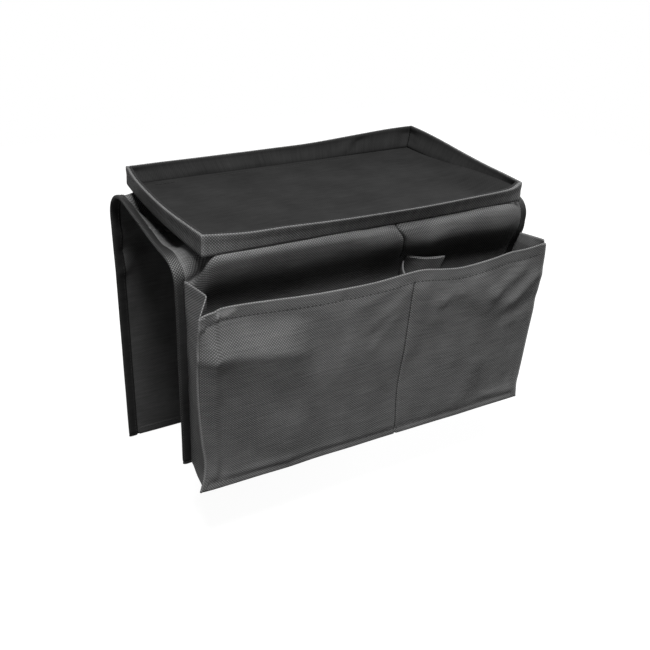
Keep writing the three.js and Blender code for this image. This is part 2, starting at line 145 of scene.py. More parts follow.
# Folded tape in millimetres: each leg as (share of its width, lift past TAPE_LIFT), its fold as (inset, lift)
TAPE_LIFT = 1.5
TAPE_LEG = ((1, -0.15), (0.75, -0.3), (0.4, 0.1))
TAPE_FOLD = ((1.0, TAPE_LIFT), (-0.5, 1.15), (-1.05, 0), (-0.5, -1.15), (1.0, -TAPE_LIFT))
TAPE_TAIL = 1.5 * MM
TAPE_PUFF = 0.22 * MM
TAPE_WAVE = 26 * MM
TAPE_SEED = 11
TAPE_THREAD_SHARE = 0.78  # of its width at which it is sewn down
TAPE_THREAD_LIFT = (TAPE_LIFT + 0.05) * MM
TAPE_HIGHLIGHT = (-1 * MM, 1.4 * MM)  # inset and width of the painted highlight along the tape's folded edge
# shares of the painted highlight on the folded edges of the tapes and of the flaps' hems
TAPE_PALE = 0.16
HEM_PALE = 0.2
FOLD_HIGHLIGHT = (88 * MM, 13 * MM)  # run and width of the painted highlight on the tape over the top of the front fold
# share of the painted highlight over the top of the front fold
FOLD_PALE = 0.55

# The saddle's ends hang free past the tray, so they sag where the photograph shows it
LEFT_END = (151 * MM, 166 * MM)  # ranges of x over which the ends take their own profile
RIGHT_END = (148 * MM, 176 * MM)

# Profiles of the saddle cloth as (y, z), from the middle of the seat over the fold to the straight flap
FRONT_MIDDLE = ((0, 1), (-80, 1.4), (-98, 2), (-102.8, 1.4), (-104.6, -1.4), (-104, -7), (-102, -15),
                (-98.6, -24), (-94, -33), (-89, -43), (-85.6, -53), (-84.6, -66))
FRONT_LEFT = ((0, -3.8), (-28, -7.6), (-47, -9.5), (-64, -10.8), (-74, -13.4), (-80, -18), (-82.6, -25),
              (-84, -38))
FRONT_RIGHT = ((0, 1), (-60, 1), (-82, -0.5), (-92, -4), (-98, -13), (-98, -24), (-94, -38), (-88, -54))
REAR_MIDDLE = ((0, 1), (58, 1), (71, -0.8), (80, -7), (84, -17), (84.2, -30))
REAR_LEFT = ((0, -3.8), (23, -1.4), (45, 1.4), (57, 1.6), (68, -2), (77, -8), (83, -14.5), (86, -22),
             (86, -40))
REAR_RIGHT = ((0, 0), (30, 1), (58, 1), (73, -2), (82, -9), (85.5, -20), (85, -36))
FLAP_STRAIGHT = (-94, -140)  # heights at which both flaps hang straight
NORMAL_STEP = 0.004  # share of the run over which the cloth's turn is measured
LOOSE_RUN = (60 * MM, 110 * MM)  # run over which the cloth comes loose
CLOTH_RIPPLE = 0.55 * MM
CLOTH_WAVE = 70 * MM
OVERLAP = (2 * MM, 0.4 * MM)  # the front half runs past the middle of the seat and sinks under the rear half
ROLL_END = -158 * MM  # where the roll over the front edge ends

# Where the cloth bends at each joint
FRONT_BEND = {"start": (0, -0.070, 0.001), "end": (0, -0.090, -0.046)}
REAR_BEND = {"start": (0, 0.066, 0.001), "end": (0, 0.084, -0.046)}

# Divider's seam down the front flap as (run, x), and the runs over which it starts and stops
SEAM_DOWN = ((96, 20.5), (104, 21.5), (110, 24.5), (118, 30), (126, 33), (134, 35), (150, 36.5))
SEAM_START = (94 * MM, 100 * MM)
SEAM_STOP = (140 * MM, 150 * MM)
SEAM_WANDER = 0.8 * MM
SEAM_WANDER_FROM = 92 * MM
SEAM_WANDER_PACE = 320  # radians for each metre
FLAP_SEAM_X = 29 * MM
FLAP_SEAM_WIDTH = 1.5 * MM
SEAM_PULL = 30 * MM  # width of the cloth that the seam draws with it
SEAM_SINK = 3 * MM
SEAM_THREAD = (98 * MM, 144 * MM)
SEAM_THREAD_SINK = 2.4 * MM
SEAM_STITCH, SEAM_GAP = 3.4 * MM, 0.3 * MM

# Soft folds on the saddle cloth, as (x, run, x, run, width, height), with the run from the middle of the seat
FRONT_FOLDS = (
    (-148, 90, -164, 108, 3.6, -8),
    (64, 122, 150, 126, 15, 4.6),
    (10, 118, 60, 124, 14, 2),
    (-150, 101, -20, 101, 6, 1.8),
    (110, 104, 160, 112, 10, 1.6),
    (60, 118, 120, 140, 16, -1.4),
    (-40, 112, 20, 120, 14, 1.0),
    (150, 92, 172, 116, 6, -1.6),
)
REAR_FOLDS = (
    (-166, 122, -146, 112, 5, -4.4),
    (-166, 140, -150, 126, 5, 4),
    (-168, 160, -152, 146, 5, -4),
    (-164, 160, -157, 235, 6, 1.8),
    (-140, 110, -120, 300, 22, 1.4),
    (-20, 130, 30, 320, 30, -1.4),
    (90, 120, 120, 330, 26, 1.3),
)

# Dark gutter between the left binding and the tray as (x, drop), and the runs over which each half ends it
GUTTER = ((-178, 0), (-176, 0.5), (-165.5, 8), (-161, 16), (-156, 20), (-144, 20), (-128, 9), (-116, 0),
          (-100, 0))
GUTTER_END = {-1: (28 * MM, 72 * MM), 1: (56 * MM, 74 * MM)}

# Pocket panel: its lip as (x, z), its two side edges as (x, z) and how far forward they stand as (y, z)
LIP = (
    (-176, -35), (-171, -32.3), (-165.5, -31.2), (-161.5, -30.8), (-158.5, -29.2), (-152, -28.6), (-140, -29),
    (-114, -31), (-87, -33.2), (-59, -34.8), (-10, -35), (10, -33.6), (33, -32.8), (52.6, -35.8), (75, -38.4),
    (97.5, -37.7), (120, -35.6), (135, -33.6), (145, -33.8), (156, -33.4), (168, -32), (176, -30.8),
)
PANEL_LEFT_EDGE = (
    (-173.6, -28), (-175.2, -44), (-175.9, -58), (-176, -106), (-174.8, -131), (-172.8, -157), (-170.6, -181),
    (-172.2, -193), (-176.4, -206),
)
PANEL_RIGHT_EDGE = (
    (172.8, -27), (175.4, -42), (177, -67), (177, -95), (176.2, -140), (174.8, -179), (172.6, -194),
    (173, -206),
)
PANEL_EDGE_FORWARD = ((-132, -28), (-129.5, -55), (-126.8, -90), (-124.4, -140), (-123.6, -185), (-126, -206))
PANEL_BELLY = 1.6 * MM
PANEL_RIPPLE = 0.6 * MM
PANEL_WAVE = 60 * MM
PANEL_SEED = 8
PANEL_PULL = 40 * MM  # width of the cloth that the divider's seam draws with it
LEAN = math.tan(math.radians(1.6))
EDGE_REACH = 38 * MM

# Upper left of the panel: the cloth leans back above this crease (x, z) and catches the light
CREASE = ((-178, -77), (-160, -72), (-120, -76), (-85, -83), (-50, -92))
CREASE_RISE = 30 * MM
CREASE_STEP = 10.5 * MM
CREASE_FALL = 46 * MM
CREASE_START = (62 * MM, 100 * MM)  # distances left of the middle over which it starts and stops
CREASE_STOP = (164 * MM, 174 * MM)
TURNED_PATCH = ((-160.5, -146.5), 7)  # stretch of the lip, and its depth, where the hem turns outwards and a highlight is painted on it
# share of the painted highlight on that patch
PATCH_HIGHLIGHT = 0.91
SIDE_CREASE = -160.5 * MM

# Creases and tension folds on the pocket panel, as (x, z, x, z, width, height)
PANEL_FOLDS = (
    (80, -85, 150, -85, 34, 1.2),
    (-172, -44, -166, -60, 3, 1.6),
    (-173, -72, -160, -71, 4, 1.6),
    (-160, -52, -110, -55, 7, -1.0),
    (-160.5, -36, -161, -74, 2.2, 1.5),
    (-162, -80, -164, -192, 4, 1.5),
    (-154, -86, -156, -192, 5, -1.3),
    (-146, -120, -148, -190, 4, 0.9),
    (-44, -44, -42, -92, 4, -1.5),
    (20, -50, -14, -78, 5, 1.2),
    (14, -66, -12, -100, 6, 1.0),
    (8, -44, -30, -56, 5, 0.8),
    (34, -52, 52, -84, 7, 1.2),
    (76, -52, 78, -60, 2.2, -1.6),
    (78, -60, 70, -66, 3, -1.3),
    (76, -62, 56, -70, 5, 2.0),
    (84, -60, 112, -84, 10, 2.0),
    (100, -56, 120, -76, 6, 1.8),
    (36, -48, 32, -110, 8, 1.2),
    (143, -88, 169, -65, 5, 2.4),
    (120, -74, 150, -54, 6, 2),
    (134, -104, 168, -92, 8, -2.0),
    (150, -120, 158, -180, 7, -1.5),
    (126, -191, 170, -196, 3.4, 1.6),
    (-150, -197, -92, -196, 2.6, 1.5),
    (-92, -196, 20, -197.5, 2.6, 0.8),
    (110, -150, 96, -186, 12, 1.4),
    (-60, -120, -90, -180, 24, 1.6),
    (60, -110, 20, -150, 20, -1.4),
)
SEAM_LINE = ((27, -31), (25.5, -60), (23, -110), (21.2, -165), (24, -206))
SEAM_REST = 24 * MM  # the seam's x before it is drawn aside
SEAM_WIDTH = 0.9 * MM
SEAM_DIP = 1.7 * MM
SEAM_BELOW_LIP = (10 * MM, 13 * MM)
PANEL_THREAD_SINK = 0.7 * MM
BOTTOM_DIP = 1.0 * MM
BOTTOM_WIDTH = 1.6 * MM
BOTTOM_THREAD_SINK = 0.5 * MM

# Turned hem of the lip: rows down its face, its section as (inwards, above the lip) and its rows with a
# painted highlight
HEM_DEPTH = 10.5 * MM
HEM_EASE = 2 * MM
HEM_DIP = 0.15 * MM
HEM_WIDTH = 1.4 * MM
HEM_SWELL = 0.12 * MM
HEM_THREAD_SINK = -0.2 * MM
HEM_ROWS = (10.5, 9.4, 7, 4, 1.6)
LIP_SECTION = ((-0.45, -0.35), (0.2, 0), (0.85, -0.4), (1.2, -1.8), (1.25, -5), (1.2, -9), (1.1, -12))
LIP_HIGHLIGHT = ((-8, 0.105), (-7, 0.21), (-6, 0.21), (-5, 0.105))  # painted highlight: row counted from the last, and its share
# x over which the painted glint on the lip fades, and the least share that it keeps
GLINT_FADE = (-60 * MM, 20 * MM)
GLINT_LEAST = 0.55

# Side seams as (inwards from the panel's edge, forward of its middle layer), and the bottom allowance's rows
WELT_SECTION = ((5, 0.5), (3, 0.55), (1.6, 0.6), (0.6, 0.8), (0, 1.2), (-0.6, 1.0), (-0.7, 0.2), (-0.4, -0.4))
WELT_PLY = 0.6 * MM
WELT_SHORT = 0.5 * MM
# painted highlight along each welt's folded edge: its inset and width, then its share
WELT_HIGHLIGHT = (-0.1 * MM, 0.7 * MM)
WELT_PALE = 0.5
ALLOWANCE_ROWS = (0.3, 1.8, 3.2, 4.2)
ALLOWANCE_AIR = 0.35 * MM

# Gussets: top of the seam on the flap as (x, z), of the pleat as (x, y, z) and of the panel's seam as z
GUSSET_BACK_TOP = {"left": (-169, -22), "right": (173, -33)}
GUSSET_PLEAT_TOP = {"left": (-158.5, -107, -28.5), "right": (172.4, -114, -30.2)}
GUSSET_FRONT_TOP = {"left": -34, "right": -27.6}
PLEAT_END = -120 * MM  # height at which the pleat has run out
GUSSET_MIDDLE = -110 * MM
GUSSET_BACK_X = {"left": 168.2 * MM, "right": 173 * MM}
GUSSET_DRAWN = (-90 * MM, -25 * MM)  # heights over which the flap's seam is drawn to its top
GUSSET_BELOW = 0.3 * MM
GUSSET_INSIDE = 0.4 * MM
GUSSET_BEHIND = 0.6 * MM
GUSSET_RIPPLE = 0.5 * MM
GUSSET_WAVE = 45 * MM
GUSSET_SEED = 41
# shares of painted highlight on the gussets' top edges, and more on the top rows of the right one
GUSSET_TOP_PALE = 0.12
RIGHT_GUSSET_PALE = 0.35
PLEAT_OUT = 1.2 * MM
PLEAT_ROUND = 0.06
PLEAT_WAVE = 40 * MM
PLEAT_SEED = 31
# share of painted highlight along the pleat's fold
PLEAT_PALE = 0.1
FLOOR_PAST = 1.2 * MM  # by which the pocket floor runs past the gussets at the flap
POCKET_FLOOR_AIR = 0.15 * MM
POCKET_SAG = 0.8 * MM

# Divider web and the small pocket sewn on the flap
DIVIDER_BACK_X = 41 * MM
DIVIDER_TOP = -40 * MM
DIVIDER_BOW = 5 * MM
DIVIDER_SLOPE = 3 * MM
DIVIDER_RIPPLE = 1.2 * MM
DIVIDER_WAVE = 60 * MM
DIVIDER_SEED = 51
DIVIDER_FOOT = 2 * MM  # above the pocket's hinge
DIVIDER_AIR = 0.6 * MM
DIVIDER_SHORT = 1.2 * MM  # by which it stops behind the panel's middle layer
# share of painted highlight on the divider's top edge
DIVIDER_PALE = 0.25
PEN_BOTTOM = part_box("pen_pocket")[0].z
PEN_LEFT, PEN_RIGHT = 42 * MM, 79 * MM
PEN_MOUTH = -36 * MM  # height of the mouth's left end
PEN_SLOPE = 4.6 * MM
PEN_GAPE = 14 * MM
PEN_FLARE = 3 * MM
PEN_FLARED = 20 * MM
PEN_OPENING = (80 * MM, 24 * MM)  # below and above the mouth, over which it gapes
PEN_DROP = 0.6 * MM
PEN_TURN = ((0.4, 0.3), (1.0, -0.4), (1.2, -3), (1.2, -8))  # hem as (inwards, above the mouth)
# share of painted highlight on the mouth's hem
PEN_PALE = 0.15
PEN_STITCH, PEN_STITCH_GAP = 1.3 * MM, 0.9 * MM
PEN_STITCH_PLACE = (0, -0.5 * MM, -0.9 * MM)

# Tray: section of one padded wall as (inwards, height above the tray's underside)
WALL_SECTION = (
    (2.4, 0.2), (0.9, 0.4), (0.15, 1.8), (0, 6), (0.2, 11), (0, 17), (0.2, 19.2), (0.8, 19.9), (1.4, 19.6),
    (2.1, 18.6), (2.7, 19.5), (3.4, 19.9), (4.4, 19.3), (4.9, 16.8), (6.2, 13.8), (8.6, 10.6), (10.6, 7.4),
    (11.2, 4.8), (10.4, 3.4), (6, 1), (2.4, 0.2),
)
WALL_HEIGHT = 20 * MM

# How far each wall's rim seems to stand out in the photograph, as (run along the wall, distance)
WALL_BOW = {
    "front": ((-160, 0), (-140, 5.5), (-123, 9.2), (-91, 10.8), (-53, 13.8), (-13, 16.2), (45, 18),
              (80, 16.6), (110, 15), (130, 13.8), (148, 10.5), (160, 0)),
    "rear": ((-160, 0), (0, 1), (160, 0)),
    "left": ((-92, 0), (-66, 6.1), (-40, 9), (0, 10.4), (40, 7.6), (70, 3.4), (92, 0)),
    "right": ((-92, 0), (-60, 6), (-20, 10), (20, 10.2), (60, 7), (92, 0)),
}
FOOT_BOW = {"front": 0, "rear": 0, "left": 0.5, "right": 0}  # share of it at the foot of each wall
BOW_OUT = 0.41  # share of that by which the rim leans out, the rest being sag
BOW_SAG = {"front": 0.27, "rear": 0.27, "left": 0.27, "right": 0.08}
CORNER_LIFT = 6 * MM  # the rear right corner of the tray stands a little high
MITRE_GAP = 0.15 * MM
WALL_ALONG = {"front": (1, 0), "rear": (-1, 0), "left": (0, -1), "right": (0, 1)}

# Padding of the walls: dents as (run, height, run, height, width, rise), and how full both ends are
WALL_DENTS = {
    "front": ((-60, 12, -20, 12, 18, 0.5), (60, 13, 110, 12, 22, -0.5)),
    "rear": ((-97, 17, -88, 10, 4, -2.6), (-84, 16, -78, 11, 5, 1.6), (40, 12, 90, 12, 26, 0.8),
             (-150, 18, -152, 6, 2.4, -2.4), (-146, 17, -147, 8, 2, 1.6)),
    "left": ((-20, 12, 40, 12, 24, 0.6),),
    "right": ((-40, 12, 20, 12, 24, 0.7), (82, 18, 84, 6, 2.4, -2.2), (78, 17, 78, 8, 2, 1.6)),
}
WALL_PUFF = {"front": (1, 1), "rear": (1, 1), "left": (1, 1), "right": (0.45, 1)}
WALL_SEED = 60
WALL_SEED_STEP = 10
WALL_INNER = (4.2 * MM, 6 * MM)  # insets over which the padded face begins
WALL_TOP = (17 * MM, 19.5 * MM)  # heights over which the rim begins
WALL_FREE = (5.5 * MM, 10 * MM)  # heights over which the padding comes free of the floor
WALL_SWELL = 0.7 * MM
WALL_WAVE = 60 * MM
CORNER_PINCH = 1.6 * MM
CORNER_REACH = 26 * MM
# painted highlight down each wall's corner edge: its reach from the end, its inset and its share
CORNER_HIGHLIGHT = (0.5 * MM, 2.2 * MM)
CORNER_INSET = 1 * MM
CORNER_PALE = 0.3
RIM_WIDTH = 4.4 * MM
RIM_WOBBLE = 0.18 * MM
WOBBLE_WAVE = 45 * MM
RIM_SWAY = 0.3 * MM
RIM_WAVE = 80 * MM
RIM_RISE = (10 * MM, 19 * MM)
RIM_STITCH_LIFT = 0.1 * MM
RIDGES = ((0.8 * MM, 1), (3.4 * MM, 0.3))  # inset of each ridge along the rim, and the share of painted highlight on it
RIDGE_WIDTH = 0.6 * MM
# share of painted highlight on the rim's ridges
RIDGE_PALE = 0.2
GROOVE_INSET, GROOVE_HEIGHT = 2 * MM, 15 * MM  # past which the stitched groove of the rim lies

# Stays inside the walls: inset of their middle from the wall's outer face, and share of the wall's length
STAY_INSET = 1.75 * MM
STAY_LOW, STAY_TOP = 1.8 * MM, 16.8 * MM
STAY_REACH = 0.955
STAY_THICKNESS = 1.2 * MM

# Floor of the tray, with its folds as (x, y, x, y, width, height), and the cloth under it
FLOOR_FOLDS = (
    (-120, 40, -90, 66, 10, 1.6),
    (70, 40, 130, 74, 10, 1.6),
    (120, 60, 150, 74, 5, 1.2),
    (-20, -70, 90, -40, 9, -1.2),
    (30, -64, 120, -30, 8, 1.2),
    (-60, -20, 40, 10, 30, 0.8),
    (-145, 70, -120, 50, 8, -1.2),
)
FLOOR_INSET = 4.6 * MM
FLOOR_TUCK = 0.5 * MM
FLOOR_TUCKED = 8 * MM
FLOOR_LOOSE = (6 * MM, 24 * MM)  # distances from the walls over which the cloth comes loose
FLOOR_RIPPLE = 0.3 * MM
FLOOR_WAVE = 90 * MM
FLOOR_SEED = 21
FLOOR_STITCH_INSET = 20 * MM  # of the row of stitches along the rear wall
FLOOR_RISE = 10 * MM  # by which the floor cloth is drawn up at the front right corner
RISE_RIGHT = (122 * MM, 156 * MM)  # x, and distance forward, over which it is drawn up
RISE_FORWARD = (-60 * MM, 96 * MM)
BASE_INSET = 3 * MM

# Stage
GROUND_HALF = 1.2
GROUND_DROP = 1 * MM
GROUND_GLOW = 0.96
LIGHT_DISTANCE = 1.8
LIGHT_SIZE = 0.6
KEY_ANGLES = (-22, 66)  # azimuth and elevation in degrees from the front
BACK_ANGLES = (125, 12)

# Camera that took the photograph, fitted to the object's corners in a 650 by 650 frame
PHOTO_SIDE = 650
FOCAL_PIXELS = 870
SENSOR = 36
CAMERA_AZIMUTH = math.radians(-30.509)
CAMERA_ELEVATION = math.radians(28.241)
CAMERA_ROLL = math.radians(2.507)
CAMERA_PLACE = (7.258 * MM, -126.309 * MM, 827.436 * MM)


def length_setting(name, description, millimetres):
    """A length that a user may change."""
    return bpy.props.FloatProperty(
        name=name, description=description, default=millimetres * MM, unit="LENGTH", precision=5)


def colour_setting(name, description, grey):
    """A colour that a user may change, grey to begin with."""
    return bpy.props.FloatVectorProperty(
        name=name, description=description, default=(grey, grey, grey), subtype="COLOR", size=3, min=0, max=1)


class OrganizerSizes(bpy.types.PropertyGroup):
    """Sizes of the cloth's finish and sewing."""

    emboss_pitch: length_setting("Emboss pitch", "Distance between the pressed dots of the cloth", 1.7)
    emboss_depth: length_setting("Emboss depth", "Depth of the pressed dots", 0.14)
    tape_width: length_setting("Tape width", "Width of the binding tape on each face", 8.2)
    stitch_length: length_setting("Stitch length", "Length of one stitch", 2.6)
    stitch_gap: length_setting("Stitch gap", "Distance between two stitches", 1.2)
    thread: length_setting("Thread", "Thickness of the sewing thread", 0.5)


class OrganizerColours(bpy.types.PropertyGroup):
    """Colours of the cloth, tape and thread."""

    outer: colour_setting("Outer cloth", "Embossed cloth of the outside", 0.154)
    # Darker than the outer cloth: this also paints shade on the inner face of the rear flap
    lining: colour_setting("Lining cloth", "Smooth cloth of the inside", 0.096)
    # Darker than the outer cloth: this also paints shade on the upward-facing floor and inner walls, which
    # the high key light reaches fully
    tray: colour_setting("Tray lining", "Smooth cloth of the tray's floor and inner walls", 0.028)
    tape: colour_setting("Tape", "Binding tape", 0.026)
    thread: colour_setting("Thread", "Sewing thread", 0.012)
    # Pale colour of the painted highlights, where edges of folds and ridges would catch the light
    painted_highlight: colour_setting("Highlighted edge", "Cloth where a fold is rubbed pale", 0.45)


class OrganizerStage(bpy.types.PropertyGroup):
    """Light and ground of the picture."""

    key: bpy.props.FloatProperty(
        name="Key light", description="Power of the soft light high on the left",
        default=42, unit="POWER")
    back: bpy.props.FloatProperty(
        name="Back light", description="Power of the soft light behind on the right",
        default=14, unit="POWER")
    ambient: bpy.props.FloatProperty(
        name="Ambient", description="Light that comes from all round", default=0.07)
    ground: colour_setting("Ground", "Colour of the floor", 0.2)


class Wire:
    """An output socket, so that shader maths is written as plain expressions."""

    def __init__(self, finish, socket):
        self.finish = finish
        self.socket = socket

    def also(self, output):
        """Another output of the same node."""
        return Wire(self.finish, self.socket.node.outputs[output])

    def maths(self, operation, *values):
        """The result of one step of maths."""
        return self.finish.add("ShaderNodeMath", {"operation": operation}, dict(enumerate(values)))

    def __add__(self, other):
        return self.maths("ADD", self, other)

    __radd__ = __add__

    def __sub__(self, other):
        return self.maths("SUBTRACT", self, other)

    def __rsub__(self, other):
        return self.maths("SUBTRACT", other, self)

    def __mul__(self, other):
        return self.maths("MULTIPLY", self, other)

    __rmul__ = __mul__

    def __pow__(self, other):
        return self.maths("POWER", self, other)

    def sine(self):
        return self.maths("SINE", self)

    def larger(self, other):
        return self.maths("MAXIMUM", self, other)


class Finish:
    """A node tree of a material or of the world."""

    def __init__(self, owner):
        owner.use_nodes = True
        self.tree = owner.node_tree

    def put(self, socket, value):
        """Links a wire to a socket, or sets its plain value."""
        if isinstance(value, Wire):
            self.tree.links.new(value.socket, socket)
        else:
            socket.default_value = value

    def add(self, kind, settings=None, sockets=None, output=0):
        """A node of one type, with its settings and then the values or links of its sockets."""
        node = self.tree.nodes.new(kind)
        for name, value in (settings or {}).items():
            setattr(node, name, value)
        for name, value in (sockets or {}).items():
            self.put(node.inputs[name], value)
        return Wire(self, node.outputs[output]) if node.outputs else None

    def mixed(self, share, first, second):
        """One colour running into another."""
        colours = {0: share, 6: first, 7: second}
        return self.add("ShaderNodeMix", {"data_type": "RGBA"}, colours, output=2)

    def dress(self, **sockets):
        """Sets the main shader's sockets, named with underscores for spaces."""
        shader = self.tree.nodes["Principled BSDF"]
        for name, value in sockets.items():
            self.put(shader.inputs[name.replace("_", " ")], value)


def solid(colour):
    """A colour with full opacity."""
    return (*colour, 1)


def new_finish(name):
    """A material by name, and whether it has still to be made."""
    known = bpy.data.materials.get(name)
    if known:
        return known, None
    material = bpy.data.materials.new(name)
    return material, Finish(material)


def cloth_finish(name, colour, emboss, gloss, speckle):
    """Non-woven cloth with a lattice of pressed dots, felted fibres and painted highlights on the edges of
    folds.
    """
    material, finish = new_finish(name)
    if finish is None:
        return material
    sizes = bpy.context.scene.organizer_sizes
    colours = bpy.context.scene.organizer_colours
    place = finish.add("ShaderNodeUVMap", {"uv_map": CLOTH_MAP})
    along = finish.add("ShaderNodeSeparateXYZ", sockets={0: place})
    across = along.also(1)
    turns = math.pi / (sizes.emboss_pitch * math.sqrt(2))
    dots = (((along + across) * turns).sine() * ((along - across) * turns).sine()) ** 2
    fibres = finish.add(
        "ShaderNodeTexNoise", sockets={"Vector": place, "Scale": FIBRE_SCALE, "Detail": 3, "Roughness": 0.6})
    clouds = finish.add(
        "ShaderNodeTexNoise", sockets={"Vector": place, "Scale": CLOUD_SCALE, "Detail": 4, "Roughness": 0.55})
    streaks = finish.add("ShaderNodeVectorMath", {"operation": "MULTIPLY"}, {0: place, 1: BRUSHED_SCALE})
    brushed = finish.add("ShaderNodeTexNoise", sockets={"Vector": streaks, "Scale": 1, "Detail": 2})
    lit = finish.add("ShaderNodeAttribute", {"attribute_name": HIGHLIGHT_LAYER}, output=2)
    shade = 0.3 + 0.7 * clouds + 0.5 * brushed + (fibres - 0.5) * 0.5 + (dots - 0.25) * (1.3 * emboss)
    tone = finish.add("ShaderNodeCombineColor", sockets={0: shade, 1: shade, 2: shade})
    plain = finish.add(
        "ShaderNodeMix", {"data_type": "RGBA", "blend_type": "MULTIPLY"},
        {0: 1.0, 6: solid(colour), 7: tone}, output=2)
    # painted highlight: the pale colour mixed in by the mesh's highlight share, speckled over the pressed
    # dots
    pale = lit * (1 - speckle + (2 * speckle) * dots * fibres)
    height = dots * emboss + fibres * 0.25
    relief = finish.add(
        "ShaderNodeBump", sockets={"Strength": 1.0, "Distance": sizes.emboss_depth, "Height": height})
    finish.dress(
        Base_Color=finish.mixed(pale, plain, solid(colours.painted_highlight)),
        Roughness=0.5 - 0.06 * dots * emboss - 0.06 * clouds,
        Normal=relief,
        Specular_IOR_Level=gloss,
    )
    return material


def outer_cloth():
    colour = bpy.context.scene.organizer_colours.outer
    return cloth_finish("embossed_cloth", colour, emboss=1.0, gloss=0.006, speckle=0.6)


def lining_cloth():
    colour = bpy.context.scene.organizer_colours.lining
    return cloth_finish("smooth_lining", colour, emboss=0.25, gloss=0.004, speckle=0.6)


def tray_cloth():
    colour = bpy.context.scene.organizer_colours.tray
    return cloth_finish("tray_lining", colour, emboss=0.25, gloss=0.004, speckle=0.6)


def tape_cloth():
    colour = bpy.context.scene.organizer_colours.tape
    return cloth_finish("binding_tape", colour, emboss=0.35, gloss=0.01, speckle=0.95)


def thread_finish(name, colour):
    """Twisted sewing thread."""
    material, finish = new_finish(name)
    if finish is None:
        return material
    place = finish.add("ShaderNodeTexCoord", output=3)
    fuzz = finish.add("ShaderNodeTexNoise", sockets={"Vector": place, "Scale": FUZZ_SCALE, "Detail": 2})
    dark, light = (solid([shade * part for part in colour]) for shade in (0.55, 1.5))
    tone = finish.mixed(fuzz, dark, light)
    relief = finish.add("ShaderNodeBump", sockets={"Strength": 0.6, "Distance": GRAIN_DEPTH, "Height": fuzz})
    finish.dress(Base_Color=tone, Roughness=0.5 + 0.25 * fuzz, Normal=relief, Specular_IOR_Level=0.3)
    return material


def dark_thread():
    return thread_finish("dark_thread", bpy.context.scene.organizer_colours.thread)


# Thread in the pale colour of the painted highlights
def highlight_thread():
    return thread_finish("highlight_thread", bpy.context.scene.organizer_colours.painted_highlight)


def stiffener_finish(name, light, dark, scale):
    """Board or plastic that stays inside the cloth."""
    material, finish = new_finish(name)
    if finish is None:
        return material
    place = finish.add("ShaderNodeTexCoord", output=3)
    grain = finish.add("ShaderNodeTexNoise", sockets={"Vector": place, "Scale": scale, "Detail": 5})
    relief = finish.add("ShaderNodeBump", sockets={"Strength": 0.4, "Distance": GRAIN_DEPTH, "Height": grain})
    finish.dress(Base_Color=finish.mixed(grain, solid(dark), solid(light)), Roughness=0.55 + 0.3 * grain,
                 Normal=relief)
    return material


def between(value, low, high):
    """0 below low, 1 above high and a smooth run between them."""
    share = np.clip((np.asarray(value, float) - low) / (high - low), 0, 1)
    return share * share * (3 - 2 * share)


def bell(value, centre, width):
    """1 at a centre, falling away over a width on both sides of it."""
    return np.exp(-(((value - centre) / width) ** 2))


def run_along(line):
    """Distance run from the start of a line at each of its points."""
    return np.concatenate([[0], np.cumsum(np.linalg.norm(np.diff(line, axis=0), axis=1))])


def length_of(line):
    return np.linalg.norm(np.diff(line, axis=0), axis=1).sum()


def looked_up(place, run, line):
    """Points of a line at places given by the distance run along it."""
    return np.stack([np.interp(place, run, line[:, axis]) for axis in range(line.shape[1])], -1)


def spline(points, count=SPLINE_STEPS):
    """A smooth curve through points given in millimetres, at even steps in metres."""
    knots = np.array(points, float) * MM
    reach = run_along(knots)
    span = np.linalg.norm(np.diff(knots, axis=0), axis=1)
    slope = np.diff(knots, axis=0) / span[:, None]
    inner = slope[:-1] * span[1:, None] + slope[1:] * span[:-1, None]
    inner /= (span[:-1] + span[1:])[:, None]
    lean = np.concatenate([slope[:1], inner, slope[-1:]])
    at = np.linspace(0, reach[-1], 4 * count)
    leg = np.clip(np.searchsorted(reach, at, side="right") - 1, 0, len(span) - 1)
    long = span[leg][:, None]
    t = (at - reach[leg])[:, None] / long
    fine = knots[leg] * (1 + 2 * t) * (1 - t) ** 2 + knots[leg + 1] * t * t * (3 - 2 * t)
    fine += long * (lean[leg] * t * (1 - t) ** 2 + lean[leg + 1] * t * t * (t - 1))
    run = run_along(fine)
    return looked_up(np.linspace(0, run[-1], count), run, fine)


def by_height(points):
    """A function of z from points given as (value, z) in millimetres, from top to bottom."""
    curve = spline(points)[::-1]
    return lambda z: np.interp(z, curve[:, 1], curve[:, 0])


def by_x(points):
    """A function of x from points given as (x, value) in millimetres."""
    curve = spline(points)
    return lambda x: np.interp(x, curve[:, 0], curve[:, 1])


def raised(across, along, folds):
    """Height of soft folds, each a swelling about a straight stretch given in millimetres."""
    height = np.zeros(np.broadcast(across, along).shape)
    for x0, y0, x1, y1, width, rise in folds:
        leg = np.array([x1 - x0, y1 - y0]) * MM
        dx = across - x0 * MM
        dy = along - y0 * MM
        share = np.clip((dx * leg[0] + dy * leg[1]) / (leg @ leg), 0, 1)
        off = np.hypot(dx - share * leg[0], dy - share * leg[1])
        height = height + rise * MM * bell(off, 0, width * MM)
    return height


def ripple(across, along, size, seed):
    """Slight unevenness of hung cloth, from -1 to 1, with waves of about one size."""
    draw = np.random.default_rng(seed)
    total = np.zeros(np.broadcast(across, along).shape)
    for _ in range(RIPPLE_WAVES):
        turn = draw.uniform(0, math.pi)
        pace = 2 * math.pi / (size * draw.uniform(*RIPPLE_SPREAD))
        way = across * math.cos(turn) + along * math.sin(turn)
        total += np.sin(way * pace + draw.uniform(0, 2 * math.pi))
    return total / RIPPLE_WAVES


def stepped(low, high, step, *finer):
    """Even values from low to high, closer together round each finer place."""
    values = set(np.linspace(low, high, max(2, round((high - low) / step) + 1)))
    for place in finer:
        values = {value for value in values if abs(value - place) > FINE_CLEAR}
        values |= {place + offset for offset in FINE_STEPS if low < place + offset < high}
    return np.array(sorted(values | {low, high}))


def lengths_along(points, axis):
    """Mean distance run along one axis of a grid."""
    steps = np.linalg.norm(np.diff(points, axis=axis), axis=2).mean(1 - axis)
    return np.concatenate([[0], np.cumsum(steps)])


